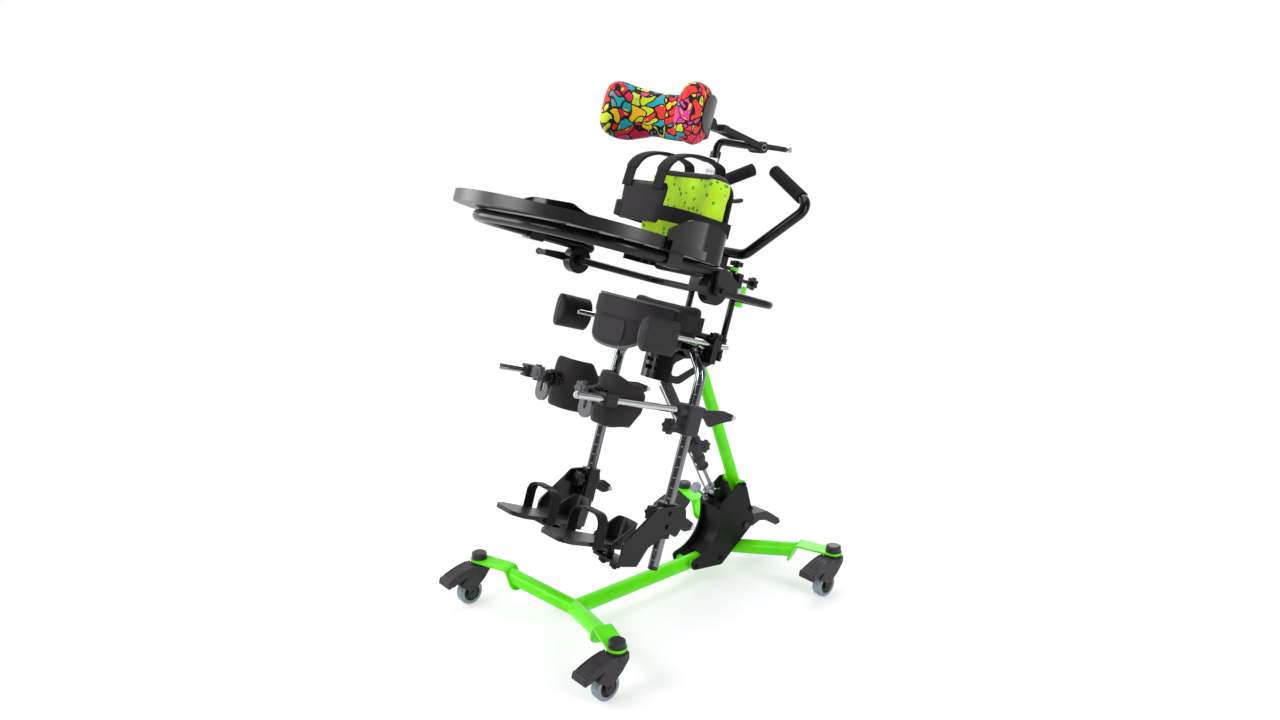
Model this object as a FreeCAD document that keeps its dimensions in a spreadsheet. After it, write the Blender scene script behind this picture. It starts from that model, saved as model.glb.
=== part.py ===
import FreeCAD, Part
import math
import os
import Sketcher

# A child's standing frame on four castors: a green welded base with a leaning mast, and a
# reclining body support with knee, foot, hip, chest, head and tray supports.
#
# Frames, all in millimetres:
#   base frame     X to the child's left, Y to the rear, Z up, Y = 0 at the front castor axes
#   support frame  the body support as if it stood upright, origin on the tilt pivot:
#                  X to the left, Y to the rear, Z up along the child's body
# Every node is placed once: base pieces by a shift, support pieces by the recline as well.

Vector = FreeCAD.Vector
doc = FreeCAD.newDocument("StandingFrame")
sheet = doc.addObject("Spreadsheet::Sheet", "Sizes")
nodes = []


# ---------------------------------------------------------------- sizes and expressions

class Size:
    """A length or angle that knows its number and the sheet expression behind it."""

    def __init__(self, number, text):
        self.number = number
        self.text = text

    def __add__(self, other):
        other = asSize(other)
        return Size(self.number + other.number, f"({self.text} + {other.text})")

    def __radd__(self, other):
        return asSize(other) + self

    def __sub__(self, other):
        other = asSize(other)
        return Size(self.number - other.number, f"({self.text} - {other.text})")

    def __rsub__(self, other):
        return asSize(other) - self

    def __mul__(self, other):
        other = asSize(other)
        return Size(self.number * other.number, f"({self.text} * {other.text})")

    def __rmul__(self, other):
        return asSize(other) * self

    def __truediv__(self, other):
        other = asSize(other)
        return Size(self.number / other.number, f"({self.text} / {other.text})")

    def __neg__(self):
        return Size(-self.number, f"(0 - {self.text})")


def asSize(value):
    if isinstance(value, Size):
        return value
    return Size(float(value), f"({float(value):.6f})")


def size(alias, value):
    """Writes one driving size into the sheet and returns it for use in expressions."""
    size.row += 1
    sheet.set(f"A{size.row}", alias)
    sheet.set(f"B{size.row}", str(value))
    sheet.setAlias(f"B{size.row}", alias)
    return Size(float(value), f"Sizes.{alias}")


size.row = 0


def sine(angle):
    return Size(math.sin(math.radians(angle.number)), f"sin({angle.text})")


def cosine(angle):
    return Size(math.cos(math.radians(angle.number)), f"cos({angle.text})")


def tangent(angle):
    return Size(math.tan(math.radians(angle.number)), f"tan({angle.text})")


def root(value):
    return Size(math.sqrt(value.number), f"sqrt({value.text})")


def arcTangent(rise, run):
    rise, run = asSize(rise), asSize(run)
    return Size(math.degrees(math.atan2(rise.number, run.number)), f"(atan2({rise.text}; {run.text}) / 1deg)")


# ---------------------------------------------------------------- sketches and features

def bind(thing, name, value):
    """Sets a property, and keeps it tied to the sheet when the value comes from there."""
    value = asSize(value)
    thing.setExpression(name, value.text)


def setPlace(thing, x=0, y=0, z=0):
    bind(thing, "Placement.Base.x", x)
    bind(thing, "Placement.Base.y", y)
    bind(thing, "Placement.Base.z", z)


def newBody(label):
    body = doc.addObject("PartDesign::Body", "Body")
    body.Label = label
    return body


def sketchOn(body, plane, offset=0):
    """An empty sketch on one of the body's own planes, moved along the plane's normal."""
    sketch = body.newObject("Sketcher::SketchObject", "Sketch")
    support = [o for o in body.Origin.OriginFeatures if o.Role == plane + "_Plane"][0]
    sketch.AttachmentSupport = [(support, "")]
    sketch.MapMode = "FlatFace"
    bind(sketch, "AttachmentOffset.Base.z", offset)
    return sketch


def constrain(sketch, constraints):
    """Adds constraints given as (Constraint arguments, size or None)."""
    first = sketch.ConstraintCount
    made = []
    for arguments, value in constraints:
        if value is None:
            made.append(Sketcher.Constraint(*arguments))
        else:
            made.append(Sketcher.Constraint(*arguments, value.number))
    sketch.addConstraint(made)
    for place, (arguments, value) in enumerate(constraints):
        if value is not None:
            sketch.setExpression(f"Constraints[{first + place}]", value.text)


def outline(sketch, corners, closed=True):
    """Straight runs between corners (a, b) or (a, b, radius); a radius rounds its corner."""
    corners = [tuple(asSize(value) for value in corner) for corner in corners]
    points = [Vector(c[0].number, c[1].number, 0) for c in corners]
    count = len(corners)
    spans = count if closed else count - 1
    heading = [(points[(i + 1) % count] - points[i]).normalize() for i in range(spans)]
    trims = []
    for i, corner in enumerate(corners):
        if len(corner) < 3:
            trims.append(0.0)
        else:
            turn = heading[i - 1].getAngle(heading[i])
            trims.append(corner[2].number * math.tan(turn / 2))
    lines = []
    for i in range(spans):
        start = points[i] + heading[i] * trims[i]
        end = points[(i + 1) % count] - heading[i] * trims[(i + 1) % count]
        lines.append(sketch.addGeometry(Part.LineSegment(start, end), False))
    rules = []
    for i, corner in enumerate(corners):
        before = lines[i - 1] if closed or i > 0 else None
        after = lines[i] if closed or i < spans else None
        if len(corner) < 3:
            if before is not None and after is not None:
                rules.append((("Coincident", before, 2, after, 1), None))
            line, end = (after, 1) if after is not None else (before, 2)
            rules.append((("DistanceX", -1, 1, line, end), corner[0]))
            rules.append((("DistanceY", -1, 1, line, end), corner[1]))
            continue
        radius = corner[2]
        inward = (heading[i] - heading[i - 1]).normalize()
        turn = heading[i - 1].getAngle(heading[i])
        centre = points[i] + inward * (radius.number / math.cos(turn / 2))
        entry = points[i] - heading[i - 1] * trims[i] - centre
        leave = points[i] + heading[i] * trims[i] - centre
        angles = [math.atan2(entry.y, entry.x), math.atan2(leave.y, leave.x)]
        leftTurn = heading[i - 1].cross(heading[i]).z > 0
        if not leftTurn:
            angles.reverse()
        circleShape = Part.Circle(centre, Vector(0, 0, 1), radius.number)
        arc = sketch.addGeometry(Part.ArcOfCircle(circleShape, angles[0], angles[1]), False)
        mark = sketch.addGeometry(Part.Point(points[i]), True)
        entryEnd, leaveEnd = (1, 2) if leftTurn else (2, 1)
        rules.append((("DistanceX", -1, 1, mark, 1), corner[0]))
        rules.append((("DistanceY", -1, 1, mark, 1), corner[1]))
        rules.append((("PointOnObject", mark, 1, before), None))
        rules.append((("PointOnObject", mark, 1, after), None))
        rules.append((("Tangent", before, 2, arc, entryEnd), None))
        rules.append((("Tangent", arc, leaveEnd, after, 1), None))
        rules.append((("Radius", arc), radius))
    constrain(sketch, rules)


def circle(sketch, a, b, radius):
    a, b, radius = asSize(a), asSize(b), asSize(radius)
    shape = Part.Circle(Vector(a.number, b.number, 0), Vector(0, 0, 1), radius.number)
    ring = sketch.addGeometry(shape, False)
    constrain(sketch, [
        (("DistanceX", -1, 1, ring, 3), a),
        (("DistanceY", -1, 1, ring, 3), b),
        (("Radius", ring), radius),
    ])


def pad(body, sketch, length, both=False, flip=False):
    feature = body.newObject("PartDesign::Pad", "Pad")
    feature.Profile = sketch
    feature.SideType = "Symmetric" if both else "One side"
    feature.Reversed = flip
    bind(feature, "Length", length)
    return feature


def pocket(body, sketch, length, both=False, flip=False):
    """Cuts the sketch's area away and makes sure that it took material."""
    doc.recompute([body])
    before = body.Shape.Volume
    feature = body.newObject("PartDesign::Pocket", "Pocket")
    feature.Profile = sketch
    feature.SideType = "Symmetric" if both else "One side"
    feature.Reversed = flip
    bind(feature, "Length", length)
    doc.recompute([body])
    if body.Shape.Volume > before - 0.5:
        raise RuntimeError("a pocket in " + body.Label + " cuts nothing")
    return feature


def revolve(body, sketch, axis="V_Axis"):
    feature = body.newObject("PartDesign::Revolution", "Revolution")
    feature.Profile = sketch
    feature.ReferenceAxis = (sketch, [axis])
    feature.Angle = 360
    return feature


def rounded(body, radius, keep):
    """Rounds the edges of the body's newest feature for which keep(edge) is true."""
    doc.recompute([body])
    base = body.Tip
    names = [f"Edge{i + 1}" for i, edge in enumerate(base.Shape.Edges) if keep(edge)]
    feature = body.newObject("PartDesign::Fillet", "Fillet")
    feature.Base = (base, names)
    bind(feature, "Radius", radius)
    doc.recompute([body])
    return feature


def bentTube(label, plane, corners, radius, bore=None, offset=0):
    """A tube along straight runs joined by bends, the path drawn on one plane."""
    body = newBody(label)
    path = sketchOn(body, plane, offset)
    outline(path, corners, closed=False)
    doc.recompute([path])
    count = len(path.Shape.Edges)
    section = body.newObject("Sketcher::SketchObject", "Section")
    section.AttachmentSupport = [(path, "Edge1")]
    section.MapMode = "NormalToEdge"
    circle(section, 0, 0, radius)
    if bore is not None:
        circle(section, 0, 0, bore)
    doc.recompute([section])
    pipe = body.newObject("PartDesign::AdditivePipe", "Pipe")
    pipe.Profile = section
    pipe.Spine = (path, [f"Edge{i + 1}" for i in range(count)])
    return body


def block(label, x, y, z):
    """A box between pairs of coordinates."""
    box = doc.addObject("Part::Box", "Box")
    box.Label = label
    x, y, z = [tuple(asSize(value) for value in pair) for pair in (x, y, z)]
    bind(box, "Length", x[1] - x[0])
    bind(box, "Width", y[1] - y[0])
    bind(box, "Height", z[1] - z[0])
    setPlace(box, x[0], y[0], z[0])
    return box


turnsTo = {
    "X": FreeCAD.Rotation(Vector(0, 1, 0), 90),
    "Y": FreeCAD.Rotation(Vector(1, 0, 0), -90),
    "Z": FreeCAD.Rotation(),
}


def rod(label, radius, start, length, axis="Z"):
    """A round bar from a start point along an axis."""
    bar = doc.addObject("Part::Cylinder", "Cylinder")
    bar.Label = label
    bar.Placement = FreeCAD.Placement(Vector(), turnsTo[axis])
    bind(bar, "Radius", radius)
    bind(bar, "Height", length)
    setPlace(bar, *start)
    return bar


def ball(label, radius, centre):
    sphere = doc.addObject("Part::Sphere", "Sphere")
    sphere.Label = label
    bind(sphere, "Radius", radius)
    setPlace(sphere, *centre)
    return sphere


def fuse(label, *pieces):
    joined = doc.addObject("Part::MultiFuse", "Fuse")
    joined.Label = label
    joined.Shapes = list(pieces)
    return joined


def cut(label, piece, tool):
    result = doc.addObject("Part::Cut", "Cut")
    result.Label = label
    result.Base = piece
    result.Tool = tool
    return result


def mirrored(label, piece):
    """The same piece for the other side, mirrored in the plane X = 0."""
    mirror = doc.addObject("Part::Mirroring", "Mirror")
    mirror.Label = label
    mirror.Source = piece
    mirror.Normal = Vector(1, 0, 0)
    return mirror


def moved(label, piece, place=(0, 0, 0), axis=None, angle=0):
    """A copy of a piece turned about an axis through its origin, then shifted."""
    copy = doc.addObject("Part::Compound", "Copy")
    copy.Label = label
    copy.Links = [piece]
    if axis is not None:
        angle = asSize(angle)
        copy.Placement = FreeCAD.Placement(Vector(), FreeCAD.Rotation(axis, angle.number))
        copy.setExpression("Placement.Rotation.Angle", f"{angle.text} * 1deg")
    setPlace(copy, *place)
    return copy


def addNode(name, *pieces, frame="base"):
    """Collects the solids of one sub-part and puts them in their frame."""
    node = doc.addObject("Part::Compound", "Node")
    node.Label = name
    node.Links = list(pieces)
    if frame == "support":
        turned = FreeCAD.Rotation(Vector(-1, 0, 0), recline.number)
        node.Placement = FreeCAD.Placement(Vector(), turned)
        node.setExpression("Placement.Rotation.Angle", f"{recline.text} * 1deg")
        setPlace(node, 0, pivotBack - originBack, pivotHeight)
    else:
        setPlace(node, 0, -originBack, 0)
    nodes.append(node)
    return node


# ---------------------------------------------------------------- driving sizes

recline = size("recline", 18)
pivotBack = size("pivotBack", 490)
pivotHeight = size("pivotHeight", 630)
originBack = size("originBack", 327.1)
runGap = size("runGap", 0.05)

frontHalf = size("frontHalf", 274.5)
rearHalf = size("rearHalf", 281)
wheelBase = size("wheelBase", 718)
wheelRadius = size("wheelRadius", 31.75)
wheelWidth = size("wheelWidth", 27)
castorTrail = size("castorTrail", 33)
strapBottom = size("strapBottom", 108)
strapThick = size("strapThick", 5)
strapWidth = size("strapWidth", 45)
tubeRadius = size("tubeRadius", 19)
tubeHeight = size("tubeHeight", 55)
vertexSetback = size("vertexSetback", 93)
strapSlope = size("strapSlope", 67)
tubeRise = size("tubeRise", 10.6)


# ---------------------------------------------------------------- castors

axleRadius = size("axleRadius", 4)
stemRadius = size("stemRadius", 5)
forkWidth = size("forkWidth", 38)
pinRadius = size("pinRadius", 2.5)

wheel = newBody("Wheel")
wheelSketch = sketchOn(wheel, "XZ")
halfTread = wheelWidth / 2
outline(wheelSketch, [
    (-14.7, axleRadius + runGap), (14.7, axleRadius + runGap), (14.7, 8.5), (10.5, 10, 1.5),
    (10.5, 19, 1.5), (halfTread, 23, 1.2), (halfTread, wheelRadius, 6.5),
    (-halfTread, wheelRadius, 6.5), (-halfTread, 23, 1.2), (-10.5, 19, 1.5), (-10.5, 10, 1.5),
    (-14.7, 8.5),
])
revolve(wheel, wheelSketch, "H_Axis")

fork = newBody("Fork")
forkSide = sketchOn(fork, "YZ")
outline(forkSide, [
    (20, 100), (-24, 97.5, 2), (-66, 63, 5), (-66, 57, 3), (-46, 46, 8), (-44.5, 19.5, 11.4),
    (-21.5, 19.5, 11.4), (-21, 43, 8), (2, 62, 30), (20, 84, 10),
])
pad(fork, forkSide, forkWidth, both=True)
headSketch = sketchOn(fork, "YZ")
outline(headSketch, [
    (0, 84), (20, 84, 3), (24, 89, 2), (24, 101, 1.5), (20, 101), (20, 104.4), (19, 104.4),
    (19, 107.7), (0, 107.7),
])
revolve(fork, headSketch)
rounded(fork, 2, lambda edge: abs(abs(edge.CenterOfMass.x) - 19) < 0.01
        and abs(edge.BoundBox.XLength) < 0.01 and edge.CenterOfMass.z < 84)
cavity = sketchOn(fork, "YZ")
circle(cavity, -castorTrail, wheelRadius, wheelRadius + 3)
pocket(fork, cavity, 30, both=True)
stemHole = sketchOn(fork, "XY", 108)
circle(stemHole, 0, 0, stemRadius + runGap)
pocket(fork, stemHole, 16.5)
pinHole = sketchOn(fork, "YZ")
circle(pinHole, -20, 94, pinRadius + runGap)
pocket(fork, pinHole, 60, both=True)
axle = rod("Axle", axleRadius, (-20.5, -castorTrail, wheelRadius), 41, "X")
axleHeadLeft = rod("AxleHead", 6.5, (18.5, -castorTrail, wheelRadius), 2.6, "X")
axleHeadRight = rod("AxleHead", 6.5, (-21.1, -castorTrail, wheelRadius), 2.6, "X")
forkWhole = fuse("ForkWhole", fork, axle, axleHeadLeft, axleHeadRight)

pedal = newBody("CastorPedal")
pedalPlate = sketchOn(pedal, "YZ")
outline(pedalPlate, [
    (-24, 104, 2), (-60, 98, 30), (-92, 87, 3), (-104, 81, 3), (-99, 67, 4), (-83, 69, 3),
    (-73, 79, 3), (-25, 101),
])
pad(pedal, pedalPlate, 43, both=True)
skirtOuter = sketchOn(pedal, "YZ")
outline(skirtOuter, [
    (-16, 103.6, 3), (-60, 97.5, 30), (-84, 88, 3), (-86, 74, 4), (-70, 75, 6), (-30, 86, 6),
    (-16, 86, 5),
])
pad(pedal, skirtOuter, 43, both=True)
skirtInner = sketchOn(pedal, "YZ")
outline(skirtInner, [(-10, 110), (-24.5, 101.2), (-79, 75.9), (-79, 60), (-10, 60)])
pocket(pedal, skirtInner, 38.8, both=True)
headRoom = sketchOn(pedal, "XY")
circle(headRoom, 0, 0, 25)
pocket(pedal, headRoom, 240, both=True)
pedalPin = rod("PedalPin", pinRadius, (-21.5, -20, 94), 43, "X")
pedalWhole = fuse("PedalWhole", pedal, pedalPin)

cap = newBody("CastorCap")
capSketch = sketchOn(cap, "XZ")
capBase = strapBottom + strapThick
outline(capSketch, [
    (0, 92), (stemRadius, 92), (stemRadius, capBase), (20, capBase), (20, capBase + 3),
    (19.2, capBase + 3.6), (19.2, capBase + 14, 2.5), (14, capBase + 17, 3), (0, capBase + 17),
])
revolve(cap, capSketch)

corners = {
    "front_left": (frontHalf, asSize(0)),
    "front_right": (-frontHalf, asSize(0)),
    "rear_left": (rearHalf, wheelBase),
    "rear_right": (-rearHalf, wheelBase),
}
capPieces = []
for corner, (across, back) in corners.items():
    addNode("castor_fork_" + corner, moved("Fork", forkWhole, (across, back, 0)))
    addNode("castor_wheel_" + corner,
            moved("Wheel", wheel, (across, back - castorTrail, wheelRadius)))
    addNode("castor_pedal_" + corner, moved("Pedal", pedalWhole, (across, back, 0)))
    capPieces.append(moved("Cap", cap, (across, back, 0)))
addNode("castor_caps", *capPieces)


# ---------------------------------------------------------------- base frame

def baseArm(label, reach):
    """Castor strap and cross tube, from the castor axis along +X to the spine."""
    strap = newBody(label + "Strap")
    strapTop = strapBottom + strapThick
    bendAt = size("bendAt" + label, 100)
    run = size("flangeRun" + label, 23.5)
    tipX = bendAt + run
    tipZ = strapTop - run * tangent(strapSlope)
    insideX = bendAt - strapThick * tangent(strapSlope / 2)
    side = sketchOn(strap, "XZ")
    outline(side, [
        (-strapWidth / 2, strapTop), (-strapWidth / 2, strapBottom),
        (insideX, strapBottom, 9), (tipX - strapThick * sine(strapSlope),
                                    tipZ - strapThick * cosine(strapSlope)),
        (tipX, tipZ), (bendAt, strapTop, 14),
    ])
    pad(strap, side, strapWidth, both=True)
    rounded(strap, strapWidth / 2 - 0.1, lambda edge: abs(edge.Length - strapThick.number) < 0.01)
    hole = sketchOn(strap, "XY")
    circle(hole, 0, 0, stemRadius + runGap)
    pocket(strap, hole, 300, both=True)
    straight = rod(label + "Tube", tubeRadius, (0, 0, 0), reach - 82, "X")
    sloped = moved(label + "TubeSloped", moved(label + "TubeBack", straight, (96 - reach, 0, 0)),
                   (reach, 0, tubeHeight), Vector(0, 1, 0), tubeRise)
    halfThick = strapThick / 2
    highX = bendAt - halfThick * sine(strapSlope)
    highZ = strapTop - halfThick * cosine(strapSlope)
    mitre = newBody(label + "TubeEnd")
    mitreSide = sketchOn(mitre, "XZ")
    outline(mitreSide, [
        (highX, highZ), (highX, 160), (50, 160), (50, 5),
        (highX + (highZ - 5) / tangent(strapSlope), 5),
    ])
    pad(mitre, mitreSide, 90, both=True)
    tube = cut(label + "TubeMitred", sloped, mitre)
    return fuse(label + "Arm", strap, tube)


def placedArm(label, across, back, vertexBack):
    """The arm turned from its castor toward the spine, mitred on the middle plane."""
    rise = vertexBack - back
    reach = root(across * across + rise * rise)
    angle = 180 - arcTangent(rise, across)
    arm = moved(label, baseArm(label, reach), (across, back, 0), Vector(0, 0, 1), angle)
    keepOff = block(label + "Mitre", (-60, 0), (vertexBack - 60, vertexBack + 60), (0, 120))
    half = cut(label + "Half", arm, keepOff)
    return [half, mirrored(label + "Other", half)]


rearVertex = wheelBase - vertexSetback
frontArms = placedArm("Front", frontHalf, asSize(0), vertexSetback)
rearArms = placedArm("Rear", rearHalf, wheelBase, rearVertex)
spine = rod("Spine", tubeRadius, (0, vertexSetback, tubeHeight), rearVertex - vertexSetback, "Y")
plateInside = size("plateInside", 33)
bossRadius = size("bossRadius", 10)
screwRadius = size("screwRadius", 4)
spineScrews = [(556, 52), (466, 56)]
mastScrews = [(633.9, 243), (664, 165)]


def acrossRod(label, radius, spot, half):
    return rod(label, radius, (-asSize(half), spot[0], spot[1]), asSize(half) * 2, "X")


spineBosses = [acrossRod("SpineBoss", bossRadius, spot, plateInside) for spot in spineScrews]
spineHoles = [acrossRod("SpineHole", screwRadius + 0.1, spot, 40) for spot in spineScrews]
spineWhole = fuse("BaseWhole", *frontArms, *rearArms, spine, *spineBosses)
addNode("base_frame", cut("BaseDrilled", spineWhole, fuse("SpineHoles", *spineHoles)))

mastRadius = size("mastRadius", 16)
mastLength = size("mastLength", 511)
mastLean = size("mastLean", 21.66)
pivotRadius = size("pivotRadius", 8)
mastStraight = rod("MastTube", mastRadius, (0, 0, 0), mastLength)
mastFoot = rod("MastPlug", mastRadius - 1, (0, 0, -4), 6)
mast = moved("Mast", fuse("MastStraight", mastStraight, mastFoot), (0, 670.6, 150),
             Vector(1, 0, 0), mastLean)
headHalf = size("headHalf", 41.7)
headTube = acrossRod("HeadTube", 18, (pivotBack, pivotHeight), headHalf)
mastBosses = [acrossRod("MastBoss", bossRadius, spot, plateInside) for spot in mastScrews]
mastHoles = [acrossRod("MastHole", screwRadius + 0.1, spot, 40) for spot in mastScrews]
pivotHole = acrossRod("PivotHole", pivotRadius + runGap, (pivotBack, pivotHeight), 50)
mastWhole = fuse("MastWhole", mast, headTube, *mastBosses)
addNode("mast_tube", cut("MastDrilled", mastWhole, fuse("MastHoles", *mastHoles, pivotHole)))

plateThick = size("plateThick", 5)
plate = newBody("SidePlate")
plateSketch = sketchOn(plate, "YZ", plateInside)
outline(plateSketch, [
    (446, 74, 8), (452, 50, 10), (557, 34, 12), (602, 66, 15), (681, 123, 10), (646, 235, 8),
    (620, 253, 8), (546, 206, 10), (548, 98, 100),
])
pad(plate, plateSketch, plateThick)
strutBase = (size("strutBaseBack", 558), size("strutBaseHeight", 231))
pedalHinge = (size("pedalHingeBack", 646), size("pedalHingeHeight", 122))
hingeHole = sketchOn(plate, "YZ", plateInside)
circle(hingeHole, *pedalHinge, 6 + runGap)
pocket(plate, hingeHole, 40, both=True)
for spot in spineScrews + mastScrews:
    screwHole = sketchOn(plate, "YZ", plateInside)
    circle(screwHole, *spot, screwRadius + 0.1)
    pocket(plate, screwHole, 40, both=True)

screw = newBody("Screw")
screwSketch = sketchOn(screw, "XY")
outline(screwSketch, [
    (18, 0), (43.5, 0), (43.5, 2.2), (41.5, 2.2), (41.5, 2.4), (43.5, 3), (42.6, 5.2, 1.2),
    (40.2, 7, 1.2), (38, 7), (38, screwRadius), (18, screwRadius),
])
revolve(screw, screwSketch, "H_Axis")
screws = [moved("Screw", screw, (0, spot[0], spot[1])) for spot in spineScrews + mastScrews]

web = newBody("Web")
webSketch = sketchOn(web, "YZ")
outline(webSketch, [
    (500, 78.5), (501, 74.6), (560, 88.5, 56), (560, 194), (556, 194), (556, 91.7, 60),
])
pad(web, webSketch, plateInside * 2, both=True)
shelf = newBody("Shelf")
shelfSketch = sketchOn(shelf, "YZ")
outline(shelfSketch, [
    (539.4, 197.5), (543, 193.9), (556, 192), (592, 205), (590, 210), (562, 199.5),
    (555, 213.1),
])
pad(shelf, shelfSketch, plateInside * 2, both=True)
lugs = []
for start in (-17.5, 11.5):
    lug = newBody("StrutLug")
    lugSketch = sketchOn(lug, "YZ", start)
    outline(lugSketch, [(545, 245, 12.5), (572, 243, 12.5), (590, 207), (550, 196)])
    pad(lug, lugSketch, 6)
    lugs.append(lug)
plungerTilt = Vector(1, 0, 0)
sleeve = moved("Sleeve", rod("SleeveBar", 8, (0, 0, -10), 24), (0, 543, 209), plungerTilt, 45)
sleeveHole = moved("SleeveHole", rod("SleeveDrill", screwRadius + runGap, (0, 0, -40), 80),
                   (0, 543, 209), plungerTilt, 45)
strutPin = acrossRod("StrutPin", 4, strutBase, 19)
strutHeads = acrossRod("StrutHeads", 7, strutBase, 20.5)
strutHeadRoom = acrossRod("StrutHeadRoom", 8, strutBase, 17)
strutCaps = cut("StrutCaps", strutHeads, strutHeadRoom)
bridge = fuse("Bridge", web, shelf, *lugs, sleeve, strutPin, strutCaps)
addNode("mast_bracket", plate, mirrored("SidePlateRight", plate),
        cut("BridgeDrilled", bridge, sleeveHole), *screws,
        *[mirrored("ScrewRight", one) for one in screws])


# ---------------------------------------------------------------- foot pedal and gas strut

footLever = newBody("FootLever")
footSketch = sketchOn(footLever, "YZ")
outline(footSketch, [
    (646, 110), (690, 103, 15), (715, 111, 15), (743, 104, 15), (785, 77, 3), (802, 80, 3),
    (797, 94, 6), (745, 131, 20), (700, 137, 20), (646, 134),
])
pad(footLever, footSketch, 50, both=True)
footBoss = acrossRod("FootBoss", 12, pedalHinge, 25)
footSpacer = acrossRod("FootSpacer", 9, pedalHinge, plateInside - 0.3)
footPin = acrossRod("FootPin", 6, pedalHinge, 41)
footCapLeft = rod("FootCap", 9, (38.4, *pedalHinge), 4, "X")
footCapRight = rod("FootCap", 9, (-42.4, *pedalHinge), 4, "X")
addNode("foot_pedal", fuse("FootPedal", footLever, footBoss, footSpacer, footPin,
                           footCapLeft, footCapRight))

strutLean = size("strutLean", 27.665)
rodRadius = size("rodRadius", 5)
barrelBore = size("barrelBore", 11)
barrelRadius = size("barrelRadius", 12.9)
strutPlace = dict(place=(0, *strutBase), axis=Vector(1, 0, 0), angle=strutLean)
gasShaft = rod("GasShaft", rodRadius, (0, 0, 6), 264)
piston = rod("Piston", barrelBore - runGap * 2, (0, 0, 262), 8)
lowerEye = cut("LowerEye", rod("EyeRound", 10, (-11, 0, 0), 22, "X"),
               rod("EyeBore", 4 + runGap, (-20, 0, 0), 40, "X"))
releaseRod = rod("ReleaseRod", 2.5, (0, -20, 20), 362)
releaseClamp = block("ReleaseClamp", (-7, 7), (-25, 7), (20, 28))
gasRod = fuse("GasRod", gasShaft, piston, lowerEye, releaseRod, releaseClamp)
addNode("gas_rod", moved("GasRodSet", gasRod, **strutPlace))

barrel = newBody("Barrel")
barrelSketch = sketchOn(barrel, "XZ")
outline(barrelSketch, [
    (rodRadius + runGap, 92), (16.5, 92, 1.5), (16.5, 97, 1.5), (barrelRadius, 99),
    (barrelRadius, 117), (16.5, 119), (16.5, 131, 3), (barrelRadius, 134), (barrelRadius, 385, 3),
    (8, 390, 2), (8, 400), (0, 400), (0, 380), (barrelBore, 380), (barrelBore, 110),
    (rodRadius + runGap, 110),
])
revolve(barrel, barrelSketch)
neck = rod("Neck", 8, (0, 0, 395), 24)
upperEye = rod("UpperEye", 12, (-10, 0, 427), 20, "X")
upperPin = rod("UpperPin", 5, (-11.7, 0, 427), 23.4, "X")
collar = block("Collar", (-17, 17), (-30, 17), (172, 192))
collarBore = rod("CollarBore", barrelRadius, (0, 0, 160), 40)
collarWay = rod("CollarWay", 3.4, (0, -20, 160), 40)
clamp = cut("Clamp", collar, fuse("ClampHoles", collarBore, collarWay))
knobStud = rod("KnobStud", 4, (16, 0, 182), 26, "X")


def starKnob(label, radius, thick, lobes=7):
    """A lobed hand knob, its hub axis along Z and its flat face at z = 0."""
    knob = newBody(label)
    face = sketchOn(knob, "XY")
    circle(face, 0, 0, radius)
    pad(knob, face, thick)
    for lobe in range(lobes):
        turn = math.radians(360 / lobes * lobe)
        bite = sketchOn(knob, "XY")
        reach = radius.number * 1.16
        circle(bite, radius * (1.16 * math.cos(turn)), radius * (1.16 * math.sin(turn)),
               radius * 0.36)
        pocket(knob, bite, 80, both=True)
    rounded(knob, 1.2, lambda edge: edge.BoundBox.ZLength < 0.01)
    hub = rod(label + "Hub", radius * 0.45, (0, 0, -4), thick + 6)
    return fuse(label + "Whole", knob, hub)


strutKnob = starKnob("StrutKnob", size("strutKnobRadius", 17), asSize(11))
strutKnobSet = moved("StrutKnobSet", strutKnob, (42, 0, 182), Vector(0, 1, 0), 90)
gasCylinder = fuse("GasCylinder", barrel, neck, upperEye, upperPin, clamp, knobStud,
                   strutKnobSet)
addNode("gas_cylinder", moved("GasCylinderSet", gasCylinder, **strutPlace))

plungerBar = rod("PlungerBar", screwRadius, (0, 0, -18), 92)
plungerNut = rod("PlungerNut", 7, (0, 0, 15), 8)
plungerDisc = rod("PlungerDisc", 15, (0, 0, 70), 6)
plunger = fuse("Plunger", plungerBar, plungerNut, plungerDisc)
addNode("lock_plunger", moved("PlungerSet", plunger, (0, 543, 209), plungerTilt, 45))


# ---------------------------------------------------------------- back frame

def common(label, one, other):
    shared = doc.addObject("Part::MultiCommon", "Common")
    shared.Label = label
    shared.Shapes = [one, other]
    return shared


def sideProfile(label, corners, start, width):
    """A plate whose side view is given as (Y, Z) corners, from X = start over a width."""
    body = newBody(label)
    sketch = sketchOn(body, "YZ", start)
    outline(sketch, corners)
    pad(body, sketch, width)
    return body


def planProfile(label, corners, start, height):
    """A piece whose plan is given as (X, Y) corners, from Z = start over a height."""
    body = newBody(label)
    sketch = sketchOn(body, "XY", start)
    outline(sketch, corners)
    pad(body, sketch, height)
    return body


def ribbon(label, plane, path, thick, start, width):
    """A strap of even thickness along a path; positive thickness lies to the path's left."""
    points = [Vector(spot[0], spot[1], 0) for spot in path]
    heading = [(points[i + 1] - points[i]).normalize() for i in range(len(points) - 1)]
    left = [Vector(-way.y, way.x, 0) for way in heading]
    inner = []
    for i, spot in enumerate(path):
        before = left[max(i - 1, 0)]
        after = left[min(i, len(left) - 1)]
        middle = (before + after).normalize()
        at = points[i] + middle * (thick / middle.dot(after))
        corner = [round(at.x, 4), round(at.y, 4)]
        if len(spot) > 2:
            turn = heading[i - 1].cross(heading[i]).z
            corner.append(spot[2] - math.copysign(thick, turn * thick))
        inner.append(tuple(corner))
    body = newBody(label)
    sketch = sketchOn(body, plane, start)
    outline(sketch, list(path) + inner[::-1])
    pad(body, sketch, width)
    return body


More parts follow.
